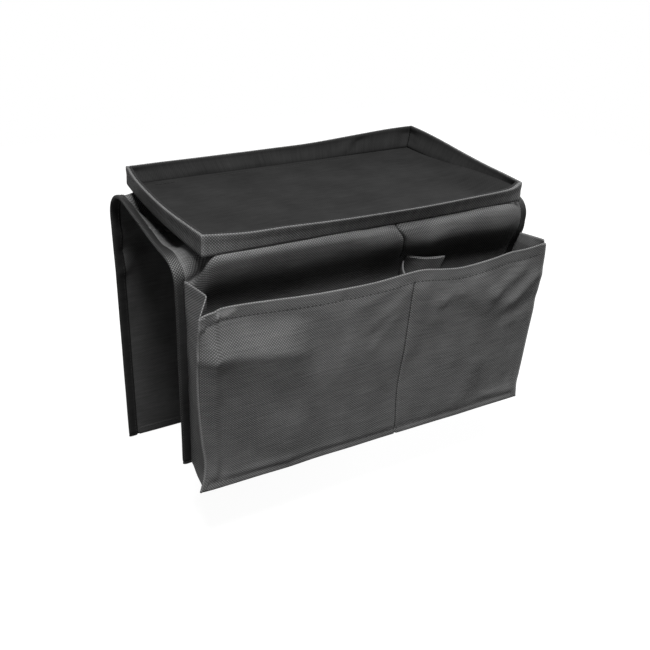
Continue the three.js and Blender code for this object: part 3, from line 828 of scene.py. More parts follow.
def grid_piece(name, points, finishes, painted_highlight=None, turned=False):
    """A mesh through a grid of points (rows, columns, 3), with its cloth map and the shares of its painted
    highlight.
    """
    rows, columns = points.shape[:2]
    number = np.arange(rows * columns).reshape(rows, columns)
    corners = [number[:-1, :-1], number[:-1, 1:], number[1:, 1:], number[1:, :-1]]
    quads = np.stack(corners, 2).reshape(-1, 4)
    if turned:
        quads = quads[:, ::-1]
    mesh = bpy.data.meshes.new(name)
    mesh.from_pydata(points.reshape(-1, 3).tolist(), [], quads.tolist())
    across, up = np.meshgrid(lengths_along(points, 1), lengths_along(points, 0))
    places = np.stack([across, up], 2).reshape(-1, 2)[quads.reshape(-1)]
    mesh.uv_layers.new(name=CLOTH_MAP).uv.foreach_set("vector", places.astype(np.float32).ravel())
    share = np.zeros((rows, columns)) if painted_highlight is None else np.broadcast_to(painted_highlight, (rows, columns))
    lit = mesh.attributes.new(HIGHLIGHT_LAYER, "FLOAT", "POINT")
    lit.data.foreach_set("value", share.astype(np.float32).ravel())
    return shown(mesh, finishes)


def shown(mesh, finishes):
    """A smooth object of a mesh, linked to the scene, with its finishes."""
    mesh.polygons.foreach_set("use_smooth", [True] * len(mesh.polygons))
    for finish in finishes:
        mesh.materials.append(finish)
    piece = bpy.data.objects.new(mesh.name, mesh)
    bpy.context.scene.collection.objects.link(piece)
    return piece


def line_faces(piece, inner):
    """Gives a piece's second finish to the faces of its grid that a mask picks out."""
    piece.data.polygons.foreach_set("material_index", inner.astype(np.int32).ravel())


def thickened(piece, thickness, offset=0, inside=0, levels=1):
    """Rounds a sheet off and gives it the thickness of its cloth."""
    if levels:
        round_off = piece.modifiers.new("round_off", "SUBSURF")
        round_off.levels = levels
        round_off.render_levels = levels
    ply = piece.modifiers.new("ply", "SOLIDIFY")
    ply.thickness = thickness
    ply.offset = offset
    ply.material_offset = inside


def facing(line, way):
    """A line of stitches on cloth that faces one way all along it."""
    return line, np.broadcast_to(np.array(way, float), line.shape)


def one_stitch(ends, normal, radius):
    """The rings of points of one stitch, which dips into the cloth at its two ends."""
    middle = (ends[0] + ends[1]) / 2 + normal * radius * STITCH_STAND
    reach = (ends[1] - ends[0]) / 2
    side = np.cross(reach, normal)
    side /= np.linalg.norm(side)
    points = []
    for along, share in STITCH_RINGS:
        dip = normal * (radius * STITCH_DIP * (abs(along) == 1))
        for corner in range(STITCH_SIDES):
            turn = 2 * math.pi * corner / STITCH_SIDES
            out = side * math.cos(turn) * STITCH_WIDTH + normal * math.sin(turn)
            points.append(middle + reach * along - dip + out * radius * share)
    return points


def stitch_faces(first):
    """The faces of one stitch whose points are numbered from first."""
    faces = []
    for ring in range(len(STITCH_RINGS) - 1):
        near = first + ring * STITCH_SIDES
        far = near + STITCH_SIDES
        for corner in range(STITCH_SIDES):
            after = (corner + 1) % STITCH_SIDES
            faces.append((near + corner, near + after, far + after, far + corner))
    last = first + (len(STITCH_RINGS) - 1) * STITCH_SIDES
    faces.append(tuple(first + corner for corner in reversed(range(STITCH_SIDES))))
    faces.append(tuple(last + corner for corner in range(STITCH_SIDES)))
    return faces


def stitched(name, lines, finish, length=None, gap=None):
    """Rows of separate stitches, each row given as points and the normals of the cloth below them."""
    sizes = bpy.context.scene.organizer_sizes
    length = length or sizes.stitch_length
    gap = gap or sizes.stitch_gap
    points, faces = [], []
    for line, normals in lines:
        run = run_along(line)
        count = int((run[-1] - gap) / (length + gap))
        for centre in (np.arange(count) + 0.5) * (length + gap) + gap / 2:
            ends = [looked_up(centre + half * length / 2, run, line) for half in (-1, 1)]
            normal = looked_up(centre, run, normals)
            faces += stitch_faces(len(points))
            points += one_stitch(ends, normal / np.linalg.norm(normal), sizes.thread / 2)
    mesh = bpy.data.meshes.new(name)
    mesh.from_pydata([tuple(point) for point in points], [], faces)
    return shown(mesh, [finish])


class Drape:
    """One half of the saddle cloth, from the middle of the seat over its fold and down its flap."""

    def __init__(self, side, bottom, profiles, folds, seed):
        self.side = side
        straight = tuple((side * FLAP_FACE / MM, z) for z in (*FLAP_STRAIGHT, bottom / MM))
        self.curves = [spline(profile + straight) for profile in profiles]
        self.steps = np.linspace(0, 1, SPLINE_STEPS)
        self.length = length_of(self.curves[0])
        self.folds = folds
        self.seed = seed

    def shares(self, x):
        """How far the cloth at x follows the profiles of the middle and of the left and right ends."""
        left = between(-x, *LEFT_END)
        right = between(x, *RIGHT_END)
        return 1 - left - right, left, right

    def plain(self, x, t):
        """The cloth's middle layer without its folds, at a share t of its run."""
        y, z = (
            sum(share * np.interp(t, self.steps, curve[:, axis])
                for share, curve in zip(self.shares(x), self.curves))
            for axis in (0, 1))
        return np.stack(np.broadcast_arrays(x, y, z - np.maximum(t - 1, 0) * self.length), -1)

    def normal(self, x, t):
        """The way that the outer face looks."""
        ahead = self.plain(x, np.minimum(t + NORMAL_STEP, 1))
        along = ahead - self.plain(x, np.maximum(t - NORMAL_STEP, 0))
        across = self.plain(x + MM, t) - self.plain(x - MM, t)
        normal = np.cross(across, along) * self.side
        return normal / np.linalg.norm(normal, axis=-1, keepdims=True)

    def gutter(self, x, run):
        """How far the cloth drops between the left binding and the tray."""
        return by_x(GUTTER)(x) * (1 - between(run, *GUTTER_END[self.side]))

    def at(self, x, t, lift=0.0):
        """A place on the cloth with its folds, lifted off the middle layer."""
        run = np.minimum(t, 1) * self.length
        loose = CLOTH_RIPPLE * between(run, *LOOSE_RUN) * ripple(x, run, CLOTH_WAVE, self.seed)
        push = raised(x, run, self.folds) + loose - self.gutter(x, run)
        return self.plain(x, t) + self.normal(x, t) * (push + lift)[..., None]

    def face(self, x, z):
        """How far out the cloth's middle layer stands on the flap at a height."""
        found = 0
        for share, curve in zip(self.shares(x), self.curves):
            drop = curve[np.argmax(np.abs(curve[:, 0])):]
            found = found + share * np.interp(z, drop[::-1, 1], drop[::-1, 0])
        return found


FRONT = Drape(-1, FRONT_FLAP_LOW.z, (FRONT_MIDDLE, FRONT_LEFT, FRONT_RIGHT), FRONT_FOLDS, 3)
REAR = Drape(1, REAR_FLAP_LOW.z, (REAR_MIDDLE, REAR_LEFT, REAR_RIGHT), REAR_FOLDS, 5)
HALVES = {"front": (FRONT, FRONT_BEND), "rear": (REAR, REAR_BEND)}


def seam_reach(run):
    """1 along the seam down the front flap and 0 past its ends."""
    return between(run, *SEAM_START) * (1 - between(run, *SEAM_STOP))


def seam_across(run):
    """The seam's place across the flap, with its slight wander."""
    wander = np.sin((run - SEAM_WANDER_FROM) * SEAM_WANDER_PACE)
    return by_x(SEAM_DOWN)(run) + SEAM_WANDER * wander * seam_reach(run)


def drape_cloth(half):
    """The saddle cloth's front or rear half, outer ply and lining as one sheet."""
    drape, bend = HALVES[half]
    front = half == "front"
    flap = half + "_flap"
    x = stepped(-CLOTH_EDGE, CLOTH_EDGE, 5 * MM, *((FLAP_SEAM_X, ROLL_END) if front else ()))
    t = np.linspace(0, 1, round(drape.length / (4 * MM)) + 1)
    across, along = np.meshgrid(x, t)
    lift = np.zeros(across.shape)
    if front:
        run = along * drape.length
        across = across + bell(across, FLAP_SEAM_X, SEAM_PULL) * (seam_across(run) - FLAP_SEAM_X)
        lift = -SEAM_SINK * seam_reach(run) * bell(across, seam_across(run), FLAP_SEAM_WIDTH)
    points = drape.at(across, along, lift)
    if front:
        points[0, :, 1:] += np.array([OVERLAP[0], -OVERLAP[1]])
    piece = grid_piece(half + "_cloth", points, [outer_cloth(), lining_cloth()], turned=front)
    thickened(piece, DOUBLE_PLY, inside=1)
    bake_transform(piece)
    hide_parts("saddle_outer", "saddle_lining", flap + "_outer", flap + "_lining")
    if front:
        run = np.linspace(*SEAM_THREAD, 60)
        place = seam_across(run), run / drape.length
        line = drape.at(*place, np.full_like(run, MIDDLE_LAYER - SEAM_THREAD_SINK))
        thread = stitched("front_seam_stitches", [(line, drape.normal(*place))], dark_thread(),
                          length=SEAM_STITCH, gap=SEAM_GAP)
        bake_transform(thread)


def tape_section(width):
    """Points across a tape folded over an edge, as metres (inset, lift)."""
    leg = tuple((share * width / MM, TAPE_LIFT + lift) for share, lift in TAPE_LEG)
    back = tuple((inset, -lift) for inset, lift in reversed(leg))
    return np.array(leg + TAPE_FOLD + back) * MM


def tape_threads(drape, x, t):
    """The rows of stitches on a folded tape's two faces."""
    rows = []
    for face in (1, -1):
        lift = np.full_like(t, face * TAPE_THREAD_LIFT)
        rows.append((drape.at(x, t, lift), face * drape.normal(x, t)))
    return rows


def bind_edge(half, side):
    """The tape folded over one end of the saddle cloth's half, with its two rows of stitches."""
    drape, bend = HALVES[half]
    front = half == "front"
    flap = half + "_flap"
    width = bpy.context.scene.organizer_sizes.tape_width
    sign = SIDES[side]
    section = tape_section(width)
    t = np.linspace(0, 1 + TAPE_TAIL / drape.length, round(drape.length / (3.5 * MM)) + 1)
    inset, along = np.meshgrid(section[:, 0], t)
    lift = np.broadcast_to(section[:, 1], inset.shape)
    run = along * drape.length
    puff = TAPE_PUFF * ripple(run, np.full_like(run, 0.1), TAPE_WAVE, TAPE_SEED + sign) * np.sign(lift)
    sunk = np.where((along == 0) & front, np.sign(lift) * OVERLAP[1], 0)
    points = drape.at(sign * (CLOTH_EDGE - inset), along, lift + puff - sunk)
    # painted highlight along the tape's folded edge and, on the front half, over the top of the front fold
    painted_highlight = TAPE_PALE * bell(inset, *TAPE_HIGHLIGHT)
    if front:
        points[0, :, 1] += OVERLAP[0]
        painted_highlight = painted_highlight + FOLD_PALE * bell(run, *FOLD_HIGHLIGHT) * (lift > 0)
    name = side + "_" + half + "_tape"
    piece = grid_piece(name, points, [tape_cloth()], painted_highlight, turned=(half == "rear") == (side == "left"))
    thickened(piece, PLY)
    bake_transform(piece)
    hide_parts("saddle_binding_" + side, flap + "_binding_" + side)
    sewn_at = np.full_like(t, sign * (CLOTH_EDGE - TAPE_THREAD_SHARE * width))
    thread = stitched(name + "_stitches", tape_threads(drape, sewn_at, t), dark_thread())
    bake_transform(thread)
    half + "_cloth"


def hem_flap(half):
    """The hem folded over the bottom edge of a flap, between its two bindings."""
    drape, _ = HALVES[half]
    width = bpy.context.scene.organizer_sizes.tape_width
    section = tape_section(width)
    x = stepped(-LINING_EDGE, LINING_EDGE, 8 * MM)
    across, inset = np.meshgrid(x, section[:, 0])
    lift = np.broadcast_to(section[:, 1][:, None], across.shape)
    points = drape.at(across, 1 - inset / drape.length, lift)
    # painted highlight along the hem's folded edge
    painted_highlight = HEM_PALE * bell(inset, *TAPE_HIGHLIGHT)
    piece = grid_piece(half + "_hem", points, [outer_cloth(), lining_cloth()], painted_highlight, turned=half == "rear")
    line_faces(piece, np.broadcast_to((section[1:, 1] < 0)[:, None], (len(section) - 1, len(x) - 1)))
    thickened(piece, PLY)
    body = half + "_flap"
    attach(piece, body)
    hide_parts(body + "_hem")
    sewn_at = np.full_like(x, 1 - TAPE_THREAD_SHARE * width / drape.length)
    thread = stitched(half + "_hem_stitches", tape_threads(drape, x, sewn_at), dark_thread())
    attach(thread, body)
    half + "_cloth"


def wall_frame(wall):
    """A wall's outer foot at its middle, its directions along and inwards, and half its length."""
    middle = (TRAY_LOW + TRAY_HIGH) / 2
    size = TRAY_HIGH - TRAY_LOW
    along = WALL_ALONG[wall]
    inwards = (-along[1], along[0])
    half, depth = (size.x / 2, size.y / 2) if along[0] else (size.y / 2, size.x / 2)
    origin = np.array([middle.x - inwards[0] * depth, middle.y - inwards[1] * depth, TRAY_LOW.z])
    return origin, np.array([*along, 0.0]), np.array([*inwards, 0.0]), half


def lift_at(points):
    """How far the tray stands high towards its rear right corner."""
    right = between(points[..., 0], 0, TRAY_HIGH.x)
    rear = between(points[..., 1], TRAY_LOW.y / 2, TRAY_HIGH.y)
    return CORNER_LIFT * right * rear


def on_wall(wall, share, inset, height):
    """Points of a padded wall, bowed out and sagging as it is, from places in its straight section."""
    origin, along, inwards, half = wall_frame(wall)
    reach = share * (half - np.maximum(inset, 0) - MITRE_GAP)
    share_up = np.clip(height / WALL_HEIGHT, 0, 1)
    foot = FOOT_BOW[wall]
    bow = by_x(WALL_BOW[wall])(share * half) * (foot + (1 - foot) * share_up)
    points = origin + along * reach[..., None] + inwards * (inset - BOW_OUT * bow)[..., None]
    points[..., 2] += height - BOW_SAG[wall] * bow + lift_at(points) * share_up
    return points


def bend_stay(wall, finish):
    """The plastic strip inside a padded wall, bent as the wall is."""
    height, share = np.meshgrid(
        np.linspace(STAY_LOW, STAY_TOP, 9), np.linspace(-STAY_REACH, STAY_REACH, 81))
    points = on_wall(wall, share, np.full_like(share, STAY_INSET), height)
    piece = grid_piece("rim_stay_" + wall, points, [finish])
    thickened(piece, STAY_THICKNESS, levels=0)
    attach(piece, "saddle")
    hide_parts("tray_stay_" + wall)


def pad_wall(wall, seed):
    """One padded wall of the tray: cloth sewn round a stay, with two ridges along its top."""
    half = wall_frame(wall)[3]
    section = spline(WALL_SECTION, 52)
    share = np.concatenate([[-1, -0.992], np.linspace(-0.98, 0.98, round(half / (2.5 * MM))), [0.992, 1]])
    inset, at = np.meshgrid(section[:, 0], share)
    height = np.broadcast_to(section[:, 1], inset.shape)
    run = at * half
    to_end = half - np.abs(run)
    inner = between(inset, *WALL_INNER)
    top = between(height, *WALL_TOP)
    first, last = WALL_PUFF[wall]
    slim = 1 - (first + (last - first) * between(run, -half, half))
    inset = inset - slim * np.maximum(inset - RIM_WIDTH, 0)
    swell = WALL_SWELL * ripple(run, height, WALL_WAVE, seed) + raised(run, height, WALL_DENTS[wall])
    pinch = CORNER_PINCH * (1 - between(to_end, 0, CORNER_REACH))
    moved = inset + inner * (swell - pinch) * (1 - top) * between(height, *WALL_FREE)
    moved = moved + RIM_WOBBLE * top * ripple(run, height * 0, WOBBLE_WAVE, seed + 1)
    points = on_wall(wall, at, moved, height)
    sway = RIM_SWAY * ripple(run, height * 0, RIM_WAVE, seed + 2)
    points[..., 2] += sway * between(height, *RIM_RISE)
    # painted highlights on the rim's ridges and down the corner edges
    ridge = sum(lit * bell(inset, place, RIDGE_WIDTH) for place, lit in RIDGES)
    corner = 1 - between(to_end, *CORNER_HIGHLIGHT)
    painted_highlight = RIDGE_PALE * ridge * top + CORNER_PALE * corner * (inset < CORNER_INSET)
    piece = grid_piece("tray_wall_" + wall, points, [outer_cloth(), tray_cloth()],
                       np.clip(painted_highlight, 0, 1), turned=True)
    groove = np.argmax((section[:, 0] > GROOVE_INSET) & (section[:, 1] > GROOVE_HEIGHT))
    faces = len(share) - 1, len(section) - 1
    line_faces(piece, np.broadcast_to(np.arange(faces[1]) >= groove, faces))
    thickened(piece, PLY, offset=-1, levels=0)
    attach(piece, "saddle")
    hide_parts("tray_sleeve_" + wall)
    line = points[3:-3, groove] + np.array([0, 0, RIM_STITCH_LIFT])
    thread = stitched("tray_rim_" + wall + "_stitches", [facing(line, UPWARDS)], dark_thread())
    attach(thread, "saddle")
    2 * half


def floor_lines(low, high):
    """Places across the tray's floor, closer together where it meets the walls."""
    low, high = low + FLOOR_INSET, high - FLOOR_INSET
    middle = stepped(low + 5 * MM, high - 5 * MM, 6 * MM)
    return np.concatenate([[low, low + 2 * MM], middle, [high - 2 * MM, high]])


def lay_floor():
    """The smooth cloth on the floor of the tray, tucked in along its walls."""
    x = floor_lines(TRAY_LOW.x, TRAY_HIGH.x)
    y = floor_lines(TRAY_LOW.y, TRAY_HIGH.y)
    across, along = np.meshgrid(x, y)
    to_wall = np.minimum(
        np.minimum(across - x[0], x[-1] - across), np.minimum(along - y[0], y[-1] - along))
    height = TRAY_FLOOR - PLY / 2 - FLOOR_TUCK * (1 - between(to_wall, 0, FLOOR_TUCKED))
    height = height + FLOOR_RISE * between(across, *RISE_RIGHT) * between(-along, *RISE_FORWARD)
    uneven = FLOOR_RIPPLE * ripple(across, along, FLOOR_WAVE, FLOOR_SEED) + raised(across, along, FLOOR_FOLDS)
    height = height + between(to_wall, *FLOOR_LOOSE) * uneven
    piece = grid_piece("tray_floor_cloth", np.stack([across, along, height], 2), [tray_cloth()])
    thickened(piece, PLY)
    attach(piece, "saddle")
    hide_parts("tray_floor_cover")
    run = np.linspace(TRAY_LOW.x + FLOOR_STITCH_INSET, TRAY_HIGH.x - FLOOR_STITCH_INSET, 120)
    sewn_at = np.full_like(run, TRAY_HIGH.y - FLOOR_STITCH_INSET)
    line = np.stack([run, sewn_at, np.full_like(run, TRAY_FLOOR)], 1)
    thread = stitched("tray_floor_stitches", [facing(line, UPWARDS)], dark_thread())
    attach(thread, "saddle")


def lay_base():
    """The cloth under the tray, sewn to the saddle."""
    low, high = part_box("tray_under_cover")
    x = stepped(low.x + BASE_INSET, high.x - BASE_INSET, 10 * MM)
    y = stepped(low.y + BASE_INSET, high.y - BASE_INSET, 10 * MM)
    across, along = np.meshgrid(x, y)
    height = np.full(across.shape, (low.z + high.z) / 2)
    piece = grid_piece("tray_base_cloth", np.stack([across, along, height], 2), [outer_cloth()])
    thickened(piece, high.z - low.z, levels=0)
    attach(piece, "saddle")
    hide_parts("tray_under_cover")


lip_height = by_x(LIP)
crease_height = by_x(CREASE)
seam_x = by_height(SEAM_LINE)
edge_forward = by_height(PANEL_EDGE_FORWARD)
edge_x = {"left": by_height(PANEL_LEFT_EDGE), "right": by_height(PANEL_RIGHT_EDGE)}


def leaned_back(x, z):
    """The cloth of the panel's upper left, standing out above its crease and falling back below it."""
    crease = crease_height(x)
    above = np.clip((crease + CREASE_RISE - z) / CREASE_RISE, 0, 1)
    below = np.exp(-np.maximum(crease - z, 0) / CREASE_FALL)
    stretch = between(-x, *CREASE_START) * (1 - between(-x, *CREASE_STOP))
    return CREASE_STEP * above * below * stretch


def panel_face(x, z):
    """A point of the panel's middle layer, for a place x before the sides and the seam are drawn in."""
    near = {side: np.exp(-((PANEL_HALF - sign * x) / EDGE_REACH)) for side, sign in SIDES.items()}
    drawn = sum((edge_x[side](z) - sign * PANEL_HALF) * near[side] for side, sign in SIDES.items())
    drawn = drawn + (seam_x(z) - SEAM_REST) * bell(x, SEAM_REST, PANEL_PULL)
    rise = np.clip((z - POCKET_HINGE.z) / (PANEL_HIGH.z - POCKET_HINGE.z), 0, 1)
    middle = POCKET_HINGE.y - (z - POCKET_HINGE.z) * LEAN
    middle = middle - PANEL_BELLY * np.sin(math.pi * rise) * (1 - (x / PANEL_HALF) ** 4)
    side = np.maximum(near["left"], near["right"])
    y = middle + (edge_forward(z) - middle) * side
    uneven = PANEL_RIPPLE * ripple(x, z, PANEL_WAVE, PANEL_SEED) * (1 - side)
    push = raised(x, z, PANEL_FOLDS) + uneven + leaned_back(x, z)
    return np.stack(np.broadcast_arrays(x + drawn, y - push, z), -1)


def sew_panel(welts):
    """The pocket's front panel with its turned lip, its bottom allowance and its stitching."""
    x = stepped(-PANEL_HALF, PANEL_HALF, 4.5 * MM, SEAM_REST, SIDE_CREASE)
    top = lip_height(x)
    seam = POCKET_HINGE.z
    full = PANEL_HIGH.z - PANEL_BOTTOM
    plain = full - HEM_DEPTH - HEM_EASE
    body = np.concatenate([
        np.linspace(0, 1, 4)[:-1] * (seam - PANEL_BOTTOM),
        np.linspace(seam - PANEL_BOTTOM, plain, 38),
    ])
    body = PANEL_BOTTOM + np.outer(body / plain, top - PANEL_BOTTOM - HEM_DEPTH - HEM_EASE)
    z = np.concatenate([body, top - np.array(HEM_ROWS)[:, None] * MM])
    across = np.broadcast_to(x, z.shape)
    points = panel_face(across, z)
    seam_dip = bell(across, SEAM_REST, SEAM_WIDTH) * between(top - z, *SEAM_BELOW_LIP)
    points[..., 1] += HEM_DIP * bell(top - z, HEM_DEPTH, HEM_WIDTH)
    points[..., 1] += BOTTOM_DIP * bell(z, seam, BOTTOM_WIDTH) + SEAM_DIP * seam_dip
    points[..., 1] -= HEM_SWELL * between(z, top - HEM_DEPTH, top - HEM_DEPTH + HEM_EASE)
    turn = [panel_face(x, top + above * MM) + np.array([0, inwards * MM, 0])
            for inwards, above in LIP_SECTION]
    points = np.concatenate([points, np.array(turn)])
    # painted highlight along the lip, brighter towards the left, and a painted highlight patch where the hem
    # turns outwards
    painted_highlight = np.zeros(points.shape[:2])
    for row, share in LIP_HIGHLIGHT:
        painted_highlight[row] = share * (GLINT_LEAST + (1 - GLINT_LEAST) * between(-x, *GLINT_FADE))
    (first, last), depth = TURNED_PATCH
    highlight_patch = (x > first * MM) & (x < last * MM) & (top - z < depth * MM)
    painted_highlight[:len(z)] = np.maximum(painted_highlight[:len(z)], PATCH_HIGHLIGHT * highlight_patch)
    piece = grid_piece("pocket_panel_cloth", points, [outer_cloth()], painted_highlight)
    thickened(piece, PLY)
    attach(piece, "pocket_front")
    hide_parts("pocket_panel", "pocket_lip_hem")
    down_seam = np.linspace(seam, lip_height(SEAM_REST) - HEM_DEPTH, 60)
    rows = (
        (x, top - HEM_DEPTH, HEM_THREAD_SINK),
        (x, np.full_like(x, seam), BOTTOM_THREAD_SINK),
        (np.full_like(down_seam, SEAM_REST), down_seam, PANEL_THREAD_SINK),
    )
    lines = [facing(panel_face(place, height) + np.array([0, sunk, 0]), FORWARDS)
             for place, height, sunk in rows]
    thread = stitched("pocket_panel_stitches", lines, dark_thread())
    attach(thread, "pocket_front")


def sew_welts():
    """The raised side seams and the bottom seam of the pocket panel."""
    section = np.array(WELT_SECTION) * MM
    welts = []
    for side, sign in SIDES.items():
        z = np.linspace(PANEL_BOTTOM + WELT_SHORT, lip_height(sign * PANEL_HALF) - WELT_SHORT, 60)
        inset, height = np.meshgrid(section[:, 0], z)
        points = panel_face(np.full_like(inset, sign * PANEL_HALF), height)
        points[..., 0] -= sign * inset
        points[..., 1] -= section[:, 1]
        # painted highlight along the welt's folded edge
        painted_highlight = WELT_PALE * bell(inset, *WELT_HIGHLIGHT)
        piece = grid_piece(side + "_welt", points, [outer_cloth()], painted_highlight, turned=side == "right")
        thickened(piece, WELT_PLY)
        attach(piece, "pocket_front")
        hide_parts("pocket_welt_" + side)
        welts.append(piece)
    low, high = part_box("pocket_welt_bottom")
    across, up = np.meshgrid(stepped(low.x, high.x, 6 * MM), PANEL_BOTTOM + np.array(ALLOWANCE_ROWS) * MM)
    points = panel_face(across, up)
    points[..., 1] += PLY + ALLOWANCE_AIR
    piece = grid_piece("bottom_welt", points, [outer_cloth()])
    thickened(piece, PLY)
    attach(piece, "pocket_front")
    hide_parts("pocket_welt_bottom")
    return [*welts, piece]


def bent_across(share):
    """1 at the middle of a pleat and 0 at its two seams, with a rounded fold."""
    off = np.sqrt((2 * share - 1) ** 2 + PLEAT_ROUND ** 2) - PLEAT_ROUND
    return 1 - off / (math.sqrt(1 + PLEAT_ROUND ** 2) - PLEAT_ROUND)


def sew_gusset(side):
    """One pleated side of the bellows pocket, from the flap to the panel."""
    sign = SIDES[side]
    back_x, back_top = (value * MM for value in GUSSET_BACK_TOP[side])
    top_x, top_y, top_z = (value * MM for value in GUSSET_PLEAT_TOP[side])
    front_top = GUSSET_FRONT_TOP[side] * MM
    low_x = sign * GUSSET_BACK_X[side]
    floor = POCKET_HINGE.z - GUSSET_BELOW
    up = np.linspace(0, 1, 46)

    z = floor + up * (back_top - floor)
    x = low_x + (back_x - low_x) * between(z, *GUSSET_DRAWN)
    back = np.stack([x, FRONT.face(x, z) - MIDDLE_LAYER - SEWN_GAP, z], -1)

    z = floor + up * (front_top - floor)
    front = np.stack([edge_x[side](z) - sign * GUSSET_INSIDE, edge_forward(z) + GUSSET_BEHIND, z], -1)

    z = floor + up * (top_z - floor)
    drawn = between(z, PLEAT_END, top_z)
    middle = (back + front) / 2
    x = middle[:, 0] + (top_x - middle[:, 0]) * drawn + sign * PLEAT_OUT * (1 - drawn)
    x = x + GUSSET_RIPPLE * ripple(z, z * 0, PLEAT_WAVE, PLEAT_SEED + sign)
    fold = np.stack([x, GUSSET_MIDDLE + (top_y - GUSSET_MIDDLE) * drawn, z], -1)

    across = np.concatenate([np.linspace(0, 0.42, 8), np.linspace(0.46, 0.54, 5), np.linspace(0.58, 1, 8)])
    rows = [back * (1 - share) + front * share + (fold - middle) * bent_across(share) for share in across]
    points = np.stack(rows, 1)
    points[..., 0] += GUSSET_RIPPLE * ripple(points[..., 1], points[..., 2], GUSSET_WAVE, GUSSET_SEED + sign)
    # painted highlights on the top edge and down the pleat's fold
    painted_highlight = np.zeros(points.shape[:2])
    painted_highlight[-1] = GUSSET_TOP_PALE
    painted_highlight[:, len(across) // 2] = PLEAT_PALE
    if side == "right":
        painted_highlight[-3:] = RIGHT_GUSSET_PALE
    piece = grid_piece(side + "_gusset", points, [outer_cloth()], painted_highlight, turned=side == "left")
    thickened(piece, PLY)
    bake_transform(piece)
    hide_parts("pocket_gusset_" + side)


def sew_pocket_floor():
    """The cloth under the bellows pocket, from the flap to the panel's bottom seam."""
    low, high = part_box("pocket_gusset_bottom")
    share, out = np.meshgrid(np.linspace(0, 1, 60), np.linspace(0, 1, 10))
    left = -(GUSSET_BACK_X["left"] + FLOOR_PAST) * (1 - out) + low.x * out
    right = (GUSSET_BACK_X["right"] + FLOOR_PAST) * (1 - out) + high.x * out
    flap = FLAP_FACE * FRONT.side - MIDDLE_LAYER - POCKET_FLOOR_AIR
    y = flap + (low.y - flap) * out
    sag = -POCKET_SAG * np.sin(math.pi * out) * (1 - (2 * share - 1) ** 6)
    points = np.stack([left + (right - left) * share, y, (low.z + high.z) / 2 + sag], 2)
    piece = grid_piece("pocket_floor_cloth", points, [outer_cloth()], turned=True)
    thickened(piece, PLY)
    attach(piece, "front_flap")
    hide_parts("pocket_gusset_bottom")


def sew_divider():
    """The web that parts the pocket in two, sewn to the flap and to the panel."""
    up = np.linspace(0, 1, 34)
    floor = POCKET_HINGE.z + DIVIDER_FOOT
    out, height = np.meshgrid(np.linspace(0, 1, 14), floor + up * (DIVIDER_TOP - floor))
    height = height - DIVIDER_SLOPE * out * up[:, None]
    back = FRONT.face(DIVIDER_BACK_X, height) - MIDDLE_LAYER - DIVIDER_AIR
    front = panel_face(np.full_like(height, SEAM_REST), height)
    slack = DIVIDER_RIPPLE * ripple(out * 0.04, height, DIVIDER_WAVE, DIVIDER_SEED) - DIVIDER_BOW
    x = DIVIDER_BACK_X + (front[..., 0] - DIVIDER_BACK_X) * out + slack * np.sin(math.pi * out)
    y = back + (front[..., 1] + DIVIDER_SHORT - back) * out
    # painted highlight along the top edge
    painted_highlight = np.zeros(x.shape)
    painted_highlight[-1] = DIVIDER_PALE
    piece = grid_piece("divider_cloth", np.stack([x, y, height], 2), [outer_cloth()], painted_highlight)
    thickened(piece, PLY)
    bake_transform(piece)
    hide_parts("pocket_divider")


def sew_pen_pocket():
    """The small open pocket on the flap, with its hemmed mouth and a row of stitches along it in the painted
    highlight colour.
    """
    width = PEN_RIGHT - PEN_LEFT
    x = stepped(PEN_LEFT, PEN_RIGHT, 3 * MM)
    share = (x - PEN_LEFT) / width
    mouth = PEN_MOUTH - PEN_SLOPE * share
    gape = between(share, 0, 0.5)
    below, above = PEN_OPENING

    def hang(z):
        across = x + PEN_FLARE * share ** 2 * between(z, mouth - PEN_FLARED, mouth)
        opened = between(z, mouth - below, mouth + above) / between(0, -below, above)
        sewn = FRONT.face(across, z) - MIDDLE_LAYER - SEWN_GAP
        hung = FLAP_FACE * FRONT.side - MIDDLE_LAYER - SEWN_GAP - PEN_GAPE * opened
        y = np.minimum(sewn, sewn + (hung - sewn) * gape)
        return np.stack([across, y, z - PEN_DROP * gape * opened], 2)

    rows = np.concatenate([np.linspace(0, 0.9, 22), [0.94, 0.97, 1.0]])
    outside = hang(PEN_BOTTOM + np.outer(rows, mouth - PEN_BOTTOM))
    turn = np.array(PEN_TURN) * MM
    inside = hang(mouth + turn[:, 1:])
    inside[..., 1] += turn[:, :1]
    points = np.concatenate([outside, inside])
    # painted highlight along the top of the hem
    painted_highlight = np.zeros(points.shape[:2])
    painted_highlight[-5:-2] = PEN_PALE
    piece = grid_piece("pen_pocket_cloth", points, [outer_cloth()], painted_highlight)
    thickened(piece, PLY)
    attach(piece, "front_flap")
    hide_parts("pen_pocket", "pen_pocket_hem")
    line = outside[-1, 1:-1] + np.array(PEN_STITCH_PLACE)
    thread = stitched("pen_pocket_stitches", [facing(line, FORWARDS)], highlight_thread(),
                      length=PEN_STITCH, gap=PEN_STITCH_GAP)
    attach(thread, "front_flap")


class Sewing:
    """What the sewing operators share."""

    bl_options = {"REGISTER", "UNDO"}


class ORGANIZER_OT_saddle(Sewing, bpy.types.Operator):
    """Drapes the two halves of the saddle cloth over the armrest"""

    bl_idname = "organizer.saddle"
    bl_label = "Saddle cloth"

    def execute(self, context):
        for half in HALVES:
            drape_cloth(half)
        return {"FINISHED"}


class ORGANIZER_OT_bindings(Sewing, bpy.types.Operator):
    """Folds the binding tape over the saddle's two ends"""

    bl_idname = "organizer.bindings"
    bl_label = "Bindings"

    def execute(self, context):
        for half in HALVES:
            for side in SIDES:
                bind_edge(half, side)
        return {"FINISHED"}


